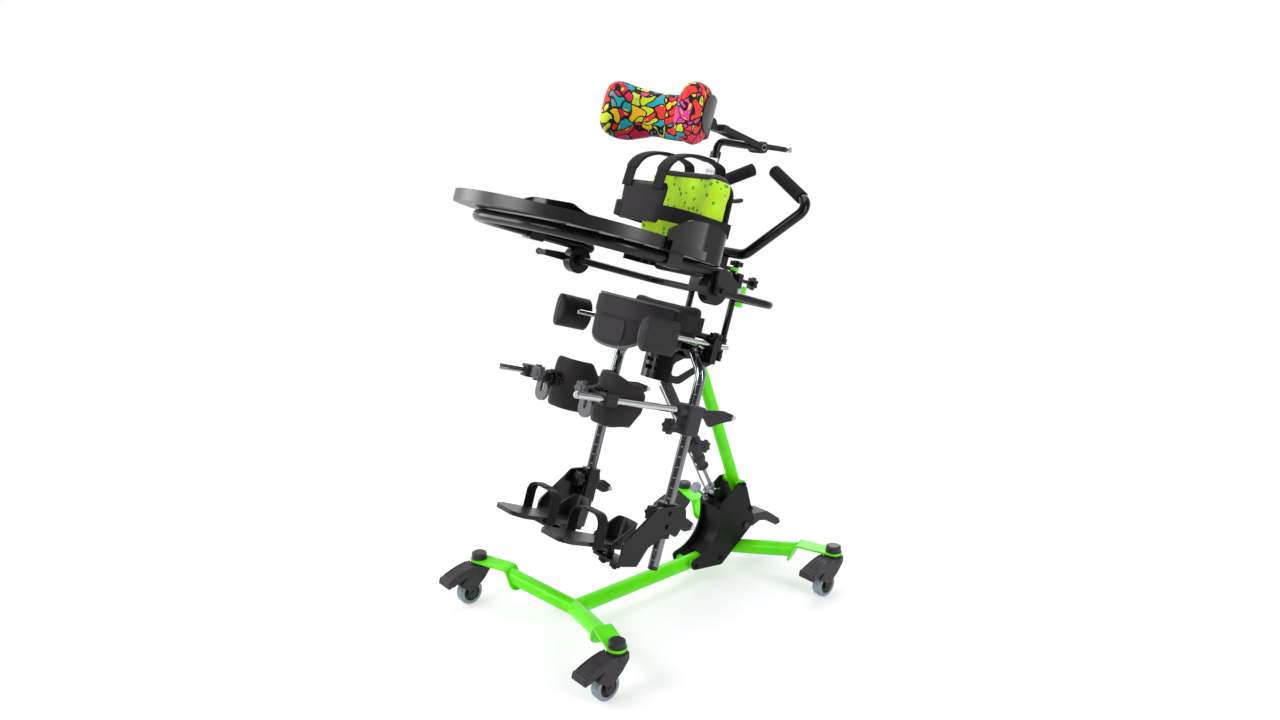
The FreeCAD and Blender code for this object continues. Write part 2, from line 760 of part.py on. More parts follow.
bandHalf = size("bandHalf", 47)
bandThick = size("bandThick", 5)
bandFront = size("bandFront", 156)
uprightHalf = size("uprightHalf", 72)
uprightRadius = size("uprightRadius", 8)
bandInner = bandHalf - bandThick
band = planProfile("Band", [
    (-bandHalf, 30), (-bandHalf, -bandFront, bandHalf - 0.1), (bandHalf, -bandFront, bandHalf - 0.1),
    (bandHalf, 30), (bandInner, 30), (bandInner, bandThick - bandFront, bandInner - 0.1),
    (-bandInner, bandThick - bandFront, bandInner - 0.1), (-bandInner, 30),
], -95, 150)
bandSide = sideProfile("BandSide", [
    (23, 24, 20), (12, 47, 8), (-30, 47, 12), (-42, 0, 30), (-110, -8, 10), (-122, -20, 10),
    (-166, -20), (-166, -88), (-85, -88, 30), (-25, -44, 40), (23, -18, 20),
], -60, 120)
slots = newBody("BandSlots")
for height in (-42, -62):
    slotSketch = sketchOn(slots, "XZ", 146)
    outline(slotSketch, [(-26, height - 5, 4.9), (26, height - 5, 4.9), (26, height + 5, 4.9),
                         (-26, height + 5, 4.9)])
    pad(slots, slotSketch, 20)
bandWindow = sideProfile("BandWindow", [
    (-46, -18, 6), (-104, -26, 8), (-118, -44, 12), (-118, -70, 8), (-92, -70, 20), (-46, -40, 10),
], -60, 120)
bandCut = cut("BandCut", common("BandForm", band, bandSide), fuse("BandGaps", slots, bandWindow))
pivotPin = rod("PivotPin", pivotRadius, (-77, 0, 0), 154, "X")
pivotWashers = [rod("PivotWasher", 13, (start, 0, 0), 3.5, "X") for start in (-50.5, 47)]
uprights = []
for side in (-1, 1):
    tube = rod("Upright", uprightRadius, (uprightHalf * side, 0, -12), 215)
    plug = rod("UprightPlug", 6.5, (uprightHalf * side, 0, 200), 5)
    collarRing = rod("UprightCollar", 11, (uprightHalf * side, 0, 30), 16)
    uprights += [tube, plug, collarRing]
crossTube = rod("CrossTube", 8, (-uprightHalf, -8, 38), uprightHalf * 2, "X")
strutLugs = [sideProfile("EyeLug", [(-153, -84), (-153, -34), (-126, -40, 8), (-103, -46, 12),
                                    (-103, -74, 12)], start, 6) for start in (-18.3, 12.3)]
hipHalf = size("hipHalf", 146)
hipBeam = block("HipBeam", (-hipHalf, hipHalf), (-104, -86), (-18, 14))
legPivot = (size("legPivotAcross", 108), size("legPivotHeight", -2))
guideAcross = size("guideAcross", 133)
guideHeight = size("guideHeight", 26)
hipSide = []
for side in (-1, 1):
    low = asSize(120) if side > 0 else -hipHalf
    high = hipHalf if side > 0 else asSize(-120)
    guideBlock = block("GuideBlock", (low, high), (-104, -78), (14, 40))
    guideBore = rod("GuideBore", 6 + runGap, (guideAcross * side, -120, guideHeight), 60, "Y")
    hipSide.append(cut("GuideHolder", guideBlock, guideBore))
    hipSide.append(rod("LegPin", 6, (legPivot[0] * side, -115, legPivot[1]), 15, "Y"))
hipKnob = starKnob("HipKnob", size("hipKnobRadius", 15), asSize(11))
hipKnobs = [moved("HipKnobSet", hipKnob, (guideAcross * side, -91, 43)) for side in (-1, 1)]
padPlate = block("PadPlate", (-60, 60), (-122, -104), (0, 60))
addNode("back_frame", fuse("BackFrame", bandCut, pivotPin, *pivotWashers, *uprights, crossTube,
                           *strutLugs, hipBeam, *hipSide, *hipKnobs, padPlate),
        frame="support")

hipPad = newBody("HipPad")
hipPadSketch = sketchOn(hipPad, "XZ", 122)
outline(hipPadSketch, [(-118, 22, 22), (118, 22, 22), (118, 105, 22), (-118, 105, 22)])
pad(hipPad, hipPadSketch, 38)
rounded(hipPad, 9, lambda edge: edge.BoundBox.YLength < 0.01 and edge.CenterOfMass.y < -150)
addNode("hip_pad", hipPad, frame="support")

beltHalf = size("beltHalf", 126)
belt = planProfile("Belt", [
    (-beltHalf, -125), (-beltHalf, -300, 90), (beltHalf, -300, 90), (beltHalf, -125),
    (beltHalf - 7.8, -125), (beltHalf - 7.8, -292, 82), (7.8 - beltHalf, -292, 82),
    (7.8 - beltHalf, -125),
], -40, 130)
beltSide = sideProfile("BeltSide", [
    (-120, 85), (-120, 36), (-175, 24, 20), (-215, -26, 20), (-310, -32), (-310, 85),
], -140, 280)
addNode("pelvic_belt", common("BeltForm", belt, beltSide), frame="support")

guideBar = rod("GuideBar", 6, (guideAcross, -300, guideHeight), 255, "Y")
guidePad = planProfile("GuidePad", [
    (129, -262, 8), (129, -336, 8), (150, -346, 14), (175, -312, 26), (175, -284, 26),
    (150, -252, 14),
], -19, 79)
rounded(guidePad, 7, lambda edge: edge.BoundBox.ZLength < 0.01)
guide = fuse("HipGuide", guideBar, guidePad)
addNode("hip_guide_left", guide, frame="support")
addNode("hip_guide_right", mirrored("HipGuideRight", guide), frame="support")


# ---------------------------------------------------------------- legs

legAcross = size("legAcross", 147)
legFront = size("legFront", 123)
legRadius = size("legRadius", 12.7)
legFit = legRadius + runGap
legPieces = {}

legTube = bentTube("LegTube", "XZ", [
    (legAcross, -510), (legAcross, -45, 40), (legPivot[0] + 2, legPivot[1] - 2),
], legRadius, offset=legFront)
legHub = rod("LegHub", 18, (legPivot[0], -116, legPivot[1]), 11.7, "Y")
legCap = ball("LegCap", legRadius, (legPivot[0] + 2, -legFront, legPivot[1] - 2))
legPlug = rod("LegPlug", 12, (legAcross, -legFront, -518), 12)
legHole = rod("LegHole", 6 + runGap, (legPivot[0], -115.3, legPivot[1]), 20, "Y")
legPieces["leg_tube"] = cut("LegBored", fuse("LegWhole", legTube, legHub, legCap, legPlug), legHole)


def legBlock(label, x, w, z, radius):
    """A block round the leg tube with rounded upright corners."""
    body = planProfile(label, [
        (x[0], -w[1], radius), (x[1], -w[1], radius), (x[1], -w[0], radius),
        (x[0], -w[0], radius),
    ], z[0], asSize(z[1]) - z[0])
    return body


def onLeg(label, pieces):
    """Bores the joined pieces for the leg tube."""
    way = rod(label + "Way", legFit, (legAcross, -legFront, -600), 560)
    return cut(label, fuse(label + "Solid", *pieces), way)


kneeKnob = starKnob("KneeKnob", size("kneeKnobRadius", 19), asSize(15))
facing = dict(axis=Vector(1, 0, 0), angle=90)
kneeHeight = size("kneeHeight", -136)
kneeBarRadius = size("kneeBarRadius", 8)
clampBlock = legBlock("KneeClampBlock", (126, 168), (102, 150), (-190, -124), 8)
clampTop = legBlock("KneeClampTop", (124, 170), (99, 154), (-124, -120), 9)
clampNose = rod("KneeClampNose", 15, (legAcross, -172, kneeHeight), 40, "Y")
clampRear = block("KneeClampRear", (141, 153), (-104, -84), (-146, -124))
clampPin = rod("KneeClampPin", 4, (145, -91, -135), 14, "X")
clampKnob = moved("KneeClampKnob", kneeKnob, (legAcross, -177, -176), **facing)
clampStud = rod("KneeClampStud", 5, (legAcross, -178, -176), 30, "Y")
legPieces["knee_clamp"] = onLeg("KneeClamp", [clampBlock, clampTop, clampNose, clampRear, clampPin,
                                              clampKnob, clampStud])


def pullLever(label, height, blade, tip):
    """A flat paddle beside the clamp, its hub on the clamp's pin and a round tip at its end."""
    arm = sideProfile(label + "Arm", [(-101, height - 8, 7), (-101, height + 9, 7)] + blade,
                      153.3, 5.7)
    hub = rod(label + "Hub", 10, (153.3, -91, height), 5.7, "X")
    end = rod(label + "Tip", 6, (148, *tip), 16, "X")
    hole = rod(label + "Hole", 4 + runGap, (140, -91, height), 30, "X")
    return cut(label, fuse(label + "Solid", arm, hub, end), hole)


legPieces["knee_lever"] = pullLever("KneeLever", asSize(-135), [
    (-28, -121, 20), (11, -127, 6), (11, -141, 6), (-30, -152, 20), (-66, -166, 12),
    (-86, -148, 6),
], (8, -134))
kneeBar = rod("KneeBar", kneeBarRadius, (legAcross, -475, kneeHeight), 303, "Y")
kneeBarTip = rod("KneeBarTip", 6.5, (legAcross, -479, kneeHeight), 6, "Y")
legPieces["knee_bar"] = fuse("KneeBarWhole", kneeBar, kneeBarTip)

jointAcross = size("jointAcross", 82)
carriage = legBlock("KneeCarriage", (133, 161), (366, 404), (-150, -122), 6)
crossArm = block("KneeCrossArm", (jointAcross, 136), (-398, -386), (-146, -126))
jointPost = rod("KneeJointPost", 11, (jointAcross, -400, kneeHeight), 34, "Y")
jointRing = rod("KneeJointRing", 17, (jointAcross, -384, kneeHeight), 6, "Y")
jointRingBack = rod("KneeJointRingBack", 20, (jointAcross, -372, kneeHeight), 5, "Y")
jointKnob = moved("KneeJointKnob", kneeKnob, (jointAcross, -403, -130), **facing)
slotPlate = newBody("KneeSlotPlate")
slotFace = sketchOn(slotPlate, "XZ", 384)
outline(slotFace, [(60, -192, 21.9), (104, -192, 21.9), (104, -148, 8), (87, -148, 3),
                   (87, -172, 4.9), (77, -172, 4.9), (77, -148, 3), (60, -148, 8)])
pad(slotPlate, slotFace, 7)
carriageWay = rod("CarriageWay", kneeBarRadius + runGap, (legAcross, -500, kneeHeight), 200, "Y")
legPieces["knee_joint"] = cut("KneeJoint", fuse(
    "KneeJointSolid", carriage, crossArm, jointPost, jointRing, jointRingBack, jointKnob,
    slotPlate), carriageWay)

kneePad = planProfile("KneePad", [
    (30, -268, 6), (30, -348, 34), (134, -348, 34), (134, -268, 6), (116, -268, 6),
    (116, -330, 18), (48, -330, 18), (48, -268, 6),
], -190, 116)
kneeTrim = sideProfile("KneeTrim", [
    (-400, -72), (-400, -192), (-290, -186, 30), (-262, -150, 20), (-262, -112, 20),
    (-290, -76, 30),
], 0, 180)
kneeFace = newBody("KneeFace")
kneeFaceSketch = sketchOn(kneeFace, "XZ", 250)
outline(kneeFaceSketch, [(30, -190, 12), (134, -190, 26), (134, -74, 36), (30, -74, 14)])
pad(kneeFace, kneeFaceSketch, 110)
kneeBoss = rod("KneeBoss", 15, (jointAcross, -360, kneeHeight), 14, "Y")
kneeSocket = ball("KneeSocket", 10 + runGap * 2, (jointAcross, -364, kneeHeight))
kneeBall = ball("KneeBall", 10, (jointAcross, -364, kneeHeight))
legPieces["knee_joint"] = fuse("KneeJointBall", legPieces["knee_joint"], kneeBall)
legPieces["knee_pad"] = cut("KneePadWhole", fuse(
    "KneePadSolid", common("KneePadForm", common("KneePadSide", kneePad, kneeTrim), kneeFace),
    kneeBoss), kneeSocket)

footClamp = legBlock("FootClampBlock", (127, 160), (103, 146), (-440, -356), 9)
footRear = block("FootClampRear", (141, 153), (-104, -84), (-410, -390))
footPinSide = rod("FootClampPin", 4, (145, -91, -400), 16, "X")
footKnob = moved("FootClampKnob", kneeKnob, (140, -156, -385), **facing)
footStud = rod("FootClampStud", 5, (140, -156, -385), 16, "Y")
footSide = sideProfile("FootSide", [
    (-190, -386, 14), (-252, -452, 16), (-252, -506, 5), (-196, -506, 8), (-174, -460, 24),
    (-116, -425, 16), (-92, -435, 10), (-72, -391, 12), (-81, -363, 12), (-101, -356, 8),
    (-174, -366, 16),
], 160, 6)
footFlange = planProfile("FootFlange", [
    (62, -252, 14), (166, -252), (166, -196), (62, -196, 14),
], -506, 6)
footBolts = [rod("FootBolt", 6, (166, back, height), 4, "X")
             for back, height in ((-126, -378), (-126, -410))]
flangeKnob = starKnob("FlangeKnob", size("flangeKnobRadius", 13), asSize(9))
flangeKnobs = [moved("FlangeKnobSet", flangeKnob, (across, -224, -521)) for across in (84, 124)]
flangeStuds = [rod("FlangeStud", 4, (across, -224, -522), 20) for across in (84, 124)]
soleHinge = (-232, -491)
soleLugs = [block("SoleLug", (start, start + 8), (-242, -222), (-503, -485))
            for start in (66, 102)]
solePin = rod("SolePin", 4, (66, *soleHinge), 44, "X")
legPieces["foot_bracket"] = onLeg("FootBracket", [
    footClamp, footRear, footPinSide, footKnob, footStud, footSide, footFlange, *footBolts,
    *flangeKnobs, *flangeStuds, *soleLugs, solePin])
legPieces["foot_lever"] = pullLever("FootLever", asSize(-400), [
    (-62, -388, 12), (-36, -400, 6), (-36, -416, 6), (-60, -421, 12), (-84, -412, 6),
], (-40, -409))

sole = newBody("Sole")
soleSketch = sketchOn(sole, "XY")
outline(soleSketch, [
    (50, -192, 26), (122, -192, 26), (128, -300, 60), (138, -400, 20), (126, -430, 20),
    (56, -430, 20), (38, -400, 20), (46, -300, 60),
])
pad(sole, soleSketch, 10)
heel = newBody("HeelCup")
heelSketch = sketchOn(heel, "XY", 2)
outline(heelSketch, [
    (50, -192, 26), (122, -192, 26), (124, -262), (118, -262), (116.5, -197.5, 20),
    (55.5, -197.5, 20), (53, -262), (47.5, -262),
])
pad(heel, heelSketch, 70)
heelTrim = sideProfile("HeelTrim", [(-188, 0), (-188, 66), (-205, 66, 12), (-264, 14), (-264, 0)],
                       30, 110)
soleLift = size("soleLift", -484)
soleRise = size("soleRise", 5.3)
soleSet = moved("SoleSet", fuse("SoleSolid", sole, common("HeelForm", heel, heelTrim)),
                (0, 18, soleLift - 18.5), Vector(1, 0, 0), -soleRise)
soleBoss = block("SoleBoss", (74.3, 101.7), (-240, -224), (-491, -476))
soleBossRound = rod("SoleBossRound", 8, (74.3, *soleHinge), 27.4, "X")
soleHole = rod("SoleHole", 4 + runGap, (60, *soleHinge), 60, "X")
legPieces["footplate"] = cut("Footplate", fuse("FootplateSolid", soleSet, soleBoss,
                                               soleBossRound), soleHole)
strap = newBody("FootStrap")
strapSketch = sketchOn(strap, "XZ", 318)
outline(strapSketch, [
    (36.2, -476), (38.8, -398, 26), (136.2, -398, 26), (138.8, -476), (136.2, -476),
    (133.6, -400.6, 23.4), (41.4, -400.6, 23.4), (38.8, -476),
])
pad(strap, strapSketch, 28)
legPieces["foot_strap"] = strap

for name, piece in legPieces.items():
    addNode(name + "_left", piece, frame="support")
    addNode(name + "_right", mirrored(name, piece), frame="support")


# ---------------------------------------------------------------- upper carriage and handle

carriagePlate = block("CarriagePlate", (-uprightHalf, uprightHalf), (-18, -12), (142, 212))
sleeves = []
for side in (-1, 1):
    sleeveOuter = rod("SleeveOuter", 13, (uprightHalf * side, 0, 150), 55)
    sleeves.append(sleeveOuter)
sleeveBores = [rod("SleeveBore", uprightRadius + runGap, (uprightHalf * side, 0, 100), 200)
               for side in (-1, 1)]
socket = rod("GreenSocket", 18, (0, 92, 130), 54)
socketBore = rod("GreenSocketBore", 12, (0, 92, 176), 12)
socketArm = block("SocketArm", (-11, 11), (-14, 80), (150, 174))
handleStem = block("HandleStem", (-16, 16), (-14, 9), (170, 252))
stemSeat = rod("StemSeat", 12.5, (-40, 0, 255), 80, "X")
ringArm = block("RingArm", (-9, 9), (0, 62), (206, 222))
ring = rod("GreenRing", 16, (0, 47, 210), 14)
carriageKnob = starKnob("CarriageKnob", size("carriageKnobRadius", 17), asSize(12))
knobTop = moved("CarriageKnobTop", carriageKnob, (0, 60, 229))
knobRear = moved("CarriageKnobRear", carriageKnob, (0, 128, 198), Vector(1, 0, 0), -90)
knobPost = rod("KnobPost", 5, (0, 60, 210), 22)
knobRearPost = rod("KnobRearPost", 5, (0, 40, 198), 90, "Y")
socketWeb = block("SocketWeb", (-4, 4), (60, 92), (172, 214))
trayHinge = (size("trayHingeFront", 253), size("trayHingeHeight", 148))
armHalf = size("armHalf", 215)
sideArm = bentTube("SideArm", "XY", [
    (uprightHalf + 4, -2), (armHalf, -2, 45), (armHalf, -trayHinge[0]),
], 9, offset=trayHinge[1])
armEnd = ball("ArmEnd", 9, (armHalf, -trayHinge[0], trayHinge[1]))
armPin = rod("ArmPin", 8, (armHalf, -trayHinge[0], trayHinge[1]), 37, "X")
armSpacer = rod("ArmSpacer", 13, (armHalf, -trayHinge[0], trayHinge[1]), 13.7, "X")
armSide = fuse("ArmSide", sideArm, armEnd, armPin, armSpacer)
carriageTubes = [rod("CarriageTube", 9, (side * 45, -126, 190), 112, "Y") for side in (-1, 1)]
mountSolid = fuse("TrayMountSolid", carriagePlate, *sleeves, socket, socketArm, handleStem,
                  ringArm, ring, knobTop, knobRear, knobPost, knobRearPost, socketWeb, armSide,
                  mirrored("ArmSideRight", armSide), *carriageTubes)
addNode("tray_mount", cut("TrayMount", mountSolid, fuse("MountBores", *sleeveBores, socketBore, stemSeat)),
        frame="support")

handleLean = size("handleLean", 18)
handleHeight = size("handleHeight", 255)
handleRadius = size("handleRadius", 12.5)
handlePlace = dict(place=(0, 0, handleHeight), axis=Vector(1, 0, 0), angle=-handleLean)
handle = bentTube("Handle", "XZ", [
    (-42, 234), (-198, 153, 28), (-74, 0, 34), (74, 0, 34), (198, 153, 28), (42, 234),
], handleRadius)
leverArm = block("LeverArm", (-176, -112.3), (36, 46), (378, 390))
leverPin = rod("LeverPin", 4, (-120, 41, 384), 27, "X")
addNode("push_handle", fuse("PushHandle", moved("HandleSet", handle, **handlePlace),
                            leverArm, leverPin), frame="support")
gripSlant = size("gripSlant", 62.56)
gripRound = rod("GripRound", 16, (0, 0, 0), 140)
gripTurned = moved("GripTurned", gripRound, (161.5, 0, 172), Vector(0, 1, 0), -gripSlant)
grip = moved("Grip", cut("GripTube", gripTurned, handle), **handlePlace)
addNode("hand_grips", grip, mirrored("GripRight", grip), frame="support")

releaseArm = sideProfile("ReleaseArm", [
    (35, 377, 5), (60, 383, 20), (112, 396, 14), (127, 404, 4), (123, 412, 4), (102, 404, 14),
    (60, 394, 20), (36, 392, 5),
], -110, 16)
releaseHub = rod("ReleaseHub", 9, (-112, 41, 384), 19.7, "X")
releaseHole = rod("ReleaseHole", 4 + runGap, (-130, 41, 384), 40, "X")
addNode("release_lever", cut("ReleaseLever", fuse("ReleaseSolid", releaseArm, releaseHub),
                             releaseHole), frame="support")


# ---------------------------------------------------------------- tray

loopHalf = size("loopHalf", 242)
loopRadius = size("loopRadius", 13)
loopHeight = size("loopHeight", 184)
loopFront = size("loopFront", 645)
loop = bentTube("TrayLoop", "XY", [
    (-loopHalf, -222), (-loopHalf, -loopFront, 185), (loopHalf, -loopFront, 185),
    (loopHalf, -222),
], loopRadius, offset=loopHeight)
domes = []
for side in (-1, 1):
    low = loopHalf - 13 if side > 0 else -loopHalf - 13
    domes.append(rod("TrayDome", 33.5, (low, -trayHinge[0], trayHinge[1]), 26, "X"))
    domes.append(ball("LoopEnd", loopRadius, (loopHalf * side, -222, loopHeight)))
    start = 250 if side > 0 else -276
    domes.append(rod("LeverAxle", 6, (start, -trayHinge[0], trayHinge[1]), 26, "X"))
domeBores = [rod("DomeBore", 8 + runGap, (start, -trayHinge[0], trayHinge[1]), 32.3, "X")
             for start in (-252.3, 220)]
addNode("tray_arm", cut("TrayArm", fuse("TrayArmSolid", loop, *domes),
                        fuse("DomeBores", *domeBores)), frame="support")

trayRadius = size("trayRadius", 280)
trayCentre = size("trayCentre", 454.5)
trayBottom = size("trayBottom", 200)
trayRim = size("trayRim", 24)
wingHalf = size("wingHalf", 246)
wingRear = size("wingRear", 236)
trayOuter = newBody("TrayOuter")
traySketch = sketchOn(trayOuter, "XY", trayBottom)
outline(traySketch, [(-wingHalf, -trayCentre), (-wingHalf, -wingRear, 45),
                     (wingHalf, -wingRear, 45), (wingHalf, -trayCentre)])
pad(trayOuter, traySketch, trayRim)
discSketch = sketchOn(trayOuter, "XY", trayBottom)
circle(discSketch, 0, -trayCentre, trayRadius)
pad(trayOuter, discSketch, trayRim)
rimThick = size("rimThick", 6)
bellySketch = sketchOn(trayOuter, "XY", trayBottom)
bellyRadius = size("bellyRadius", 140)
circle(bellySketch, 0, -215, bellyRadius)
pocket(trayOuter, bellySketch, 100, both=True)
trayWell = newBody("TrayWell")
wellSketch = sketchOn(trayWell, "XY", trayBottom + 6)
outline(wellSketch, [
    (rimThick - wingHalf, -trayCentre), (rimThick - wingHalf, -wingRear - rimThick, 39),
    (wingHalf - rimThick, -wingRear - rimThick, 39), (wingHalf - rimThick, -trayCentre),
])
pad(trayWell, wellSketch, 40)
wellDisc = sketchOn(trayWell, "XY", trayBottom + 6)
circle(wellDisc, 0, -trayCentre, trayRadius - rimThick)
pad(trayWell, wellDisc, 40)
bellyKeep = sketchOn(trayWell, "XY", trayBottom)
circle(bellyKeep, 0, -215, bellyRadius + rimThick)
pocket(trayWell, bellyKeep, 120, both=True)
trayPan = cut("TrayPan", trayOuter, trayWell)
trayRibs = [block("TrayRib", (-half, half), (-at - 5, -at), (trayBottom - 2.5, trayBottom + 1))
            for at, half in ((400, 200), (450, 212), (500, 205), (550, 185), (600, 140))]
trayBlocks = []
for side in (-1, 1):
    low = loopHalf - 17 if side > 0 else -loopHalf - 17
    holder = block("TrayHolder", (low, low + 34), (-418, -378), (loopHeight - 17, trayBottom + 1))
    trayBlocks.append(holder)
trayWays = [rod("TrayWay", loopRadius + runGap, (loopHalf * side, -440, loopHeight), 100, "Y")
            for side in (-1, 1)]
addNode("tray_top", cut("TrayTop", fuse("TraySolid", trayPan, *trayRibs, *trayBlocks),
                        fuse("TrayWays", *trayWays)), frame="support")

leverHub = rod("TrayLeverHub", 13, (256, -trayHinge[0], trayHinge[1]), 12, "X")
leverBar = sideProfile("TrayLeverBar", [
    (-250, 160, 6), (-342, 154, 7), (-341, 139, 7), (-246, 138, 6),
], 258, 8)
leverGrip = rod("TrayLeverGrip", 7, (258, -334, 146), 36, "X")
leverGripEnd = ball("TrayLeverEnd", 8.5, (294, -334, 146))
leverHole = rod("TrayLeverHole", 6 + runGap, (240, -trayHinge[0], trayHinge[1]), 60, "X")
farLever = cut("TrayLever", fuse("TrayLeverSolid", leverHub, leverBar, leverGrip, leverGripEnd),
               leverHole)
leverPaddle = sideProfile("TrayLeverPaddle", [
    (-265, 146, 6), (-273, 186, 10), (-252, 197, 10), (-195, 169, 6), (-191, 156, 5),
    (-201, 149, 6), (-236, 150, 20),
], 258, 8)
leverTip = rod("TrayLeverTip", 6, (255, -198, 158), 14, "X")
nearLever = cut("TrayLeverNear", fuse("TrayLeverNearSolid", leverHub, leverPaddle, leverTip),
                leverHole)
addNode("tray_levers", nearLever, mirrored("TrayLeverRight", farLever), frame="support")

stopThick = size("stopThick", 6)
ledgeThick = size("ledgeThick", 10)


def trayPlan(label, spread, start, height):
    """The tray's plan enlarged by a spread, from Z = start over a height."""
    body = newBody(label)
    plan = sketchOn(body, "XY", start)
    half = wingHalf + spread
    outline(plan, [(-half, -trayCentre), (-half, spread - wingRear, 45 + spread),
                   (half, spread - wingRear, 45 + spread), (half, -trayCentre)])
    pad(body, plan, height)
    disc = sketchOn(body, "XY", start)
    circle(disc, 0, -trayCentre, trayRadius + spread)
    pad(body, disc, height)
    return body


stopFoot = trayBottom - 1
stopRing = cut("StopRing", trayPlan("StopOuter", runGap + stopThick, stopFoot, asSize(90)),
               trayPlan("StopInner", runGap, stopFoot - 5, asSize(110)))
stopSide = sideProfile("StopSide", [
    (-215, 190), (-215, 252, 26), (-300, 280, 40), (-400, 270, 60), (-458, 240, 12), (-458, 190),
], 180, 130)
ledgeRing = cut("LedgeRing",
                trayPlan("LedgeOuter", runGap + stopThick + ledgeThick, stopFoot, asSize(19)),
                trayPlan("LedgeInner", runGap, stopFoot - 5, asSize(30)))
ledgeSide = sideProfile("LedgeSide", [(-318, 190), (-318, 230), (-452, 230), (-452, 190)],
                        180, 130)
elbowStop = fuse("ElbowStop", common("ElbowForm", stopRing, stopSide),
                 common("LedgeForm", ledgeRing, ledgeSide))
addNode("elbow_stops", elbowStop, mirrored("ElbowStopRight", elbowStop), frame="support")


# ---------------------------------------------------------------- back, harness and head

shell = newBody("BackShell")
shellSketch = sketchOn(shell, "XZ", 126)
outline(shellSketch, [(-85, 172, 25), (85, 172, 25), (118, 230, 60), (112, 402, 40),
                      (-112, 402, 40), (-118, 230, 60)])
pad(shell, shellSketch, 8)
postSocket = block("PostSocket", (-21, 21), (-127, -97), (300, 396))
postWay = block("PostWay", (-15.3, 15.3), (-110.3, -103.7), (290, 420))
waist = planProfile("WaistBand", [
    (-128, -206, 2.4), (-128, -128, 30), (128, -128, 30), (128, -206, 2.4), (123, -206, 2.4),
    (123, -133, 25), (-123, -133, 25), (-123, -206, 2.4),
], 178, 28)
addNode("back_shell", cut("BackShellWhole", fuse("ShellSolid", shell, postSocket, waist),
                          postWay), frame="support")
backPad = planProfile("BackPad", [
    (-112, -134), (-116, -204, 10), (-92, -204, 12), (-74, -172, 40), (74, -172, 40),
    (92, -204, 12), (116, -204, 10), (112, -134),
], 214, 204)
backTrim = newBody("BackTrim")
backTrimFace = sketchOn(backTrim, "XZ", 120)
outline(backTrimFace, [(-84, 214, 25), (84, 214, 25), (118, 262, 60), (112, 418, 45),
                       (-112, 418, 45), (-118, 262, 60)])
pad(backTrim, backTrimFace, 100)
addNode("back_pad", common("BackPadForm", backPad, backTrim), frame="support")

chestPanel = newBody("ChestPanel")
chestSketch = sketchOn(chestPanel, "XZ", 300)
outline(chestSketch, [(-66, 264, 14), (66, 264, 14), (74, 350, 18), (40, 362, 10), (0, 350, 30),
                      (-40, 362, 10), (-74, 350, 18)])
pad(chestPanel, chestSketch, 9)
shoulder = ribbon("ShoulderStrap", "YZ", [
    (-306, 340), (-297, 402, 36), (-236, 438, 40), (-140, 440, 26), (-122, 416, 12), (-122, 368),
], -4, 36, 34)
chestBelt = ribbon("ChestBelt", "XY", [
    (-96, -122.8), (-127, -122.8, 9), (-127, -306, 70), (127, -306, 70), (127, -122.8, 9),
    (96, -122.8),
], 3, 272, 34)
addNode("chest_harness", fuse("ChestHarness", chestPanel, shoulder,
                              mirrored("ShoulderStrapRight", shoulder), chestBelt),
        frame="support")

flatPost = block("FlatPost", (-15, 15), (-110, -104), (318, 478))
linkBack = (size("linkBackAt", 31), size("linkBackHeight", 528.5))
linkFront = (size("linkFrontAt", -151), size("linkFrontHeight", 533))
bentPost = bentTube("BentPost", "YZ", [(-107, 462), (-107, 504, 22), (linkBack[0], linkBack[1])], 9)
postBarrel = rod("PostBarrel", 15, (-14.7, *linkBack), 29.4, "X")
postPin = rod("PostPin", 5, (-24, *linkBack), 48, "X")
addNode("head_post", fuse("HeadPost", flatPost, bentPost, postBarrel, postPin), frame="support")

linkLean = arcTangent(linkFront[1] - linkBack[1], linkBack[0] - linkFront[0])
linkCheeks = [rod("LinkCheek", 14, (start, *linkBack), 7, "X") for start in (-22, 15)]
linkArms = [sideProfile("LinkArm", [(22, 536, 3), (22, 522, 3), (-110, 526, 3), (-110, 540, 3)],
                        start, 7) for start in (-22, 15)]
linkJoin = block("LinkJoin", (-22, 22), (-122, -104), (525, 541))
linkBar = rod("LinkBar", 7, (0, -145, 533), 30, "Y")
linkEye = rod("LinkEye", 10, (-11.7, *linkFront), 23.4, "X")
linkLever = sideProfile("LinkLever", [(30, 538, 4), (30, 524, 4), (120, 541, 5), (118, 553, 5)],
                        16, 6)
linkLeverTip = rod("LinkLeverTip", 7, (8, 117, 547), 22, "X")
linkBores = [rod("LinkBore", 5 + runGap, (-40, *linkBack), 80, "X"),
             rod("LinkEyeBore", 5 + runGap, (-40, *linkFront), 80, "X")]
addNode("head_link", cut("HeadLink", fuse("HeadLinkSolid", *linkCheeks, *linkArms, linkJoin,
                                          linkBar, linkEye, linkLever, linkLeverTip),
                         fuse("LinkBores", *linkBores)), frame="support")

restRadius = size("restRadius", 150)
restBack = size("restBack", 356)
restPadThick = size("restPadThick", 50)
restShellThick = size("restShellThick", 4)
restLow = size("restLow", 438)


def restRing(label, outer, inner, start, height):
    """A round band open at the front, standing round the head's middle."""
    body = newBody(label)
    plan = sketchOn(body, "XY", start)
    circle(plan, 0, -restBack, outer)
    pad(body, plan, height)
    hollow = sketchOn(body, "XY", start)
    circle(hollow, 0, -restBack, inner)
    pocket(body, hollow, 400, both=True)
    return body


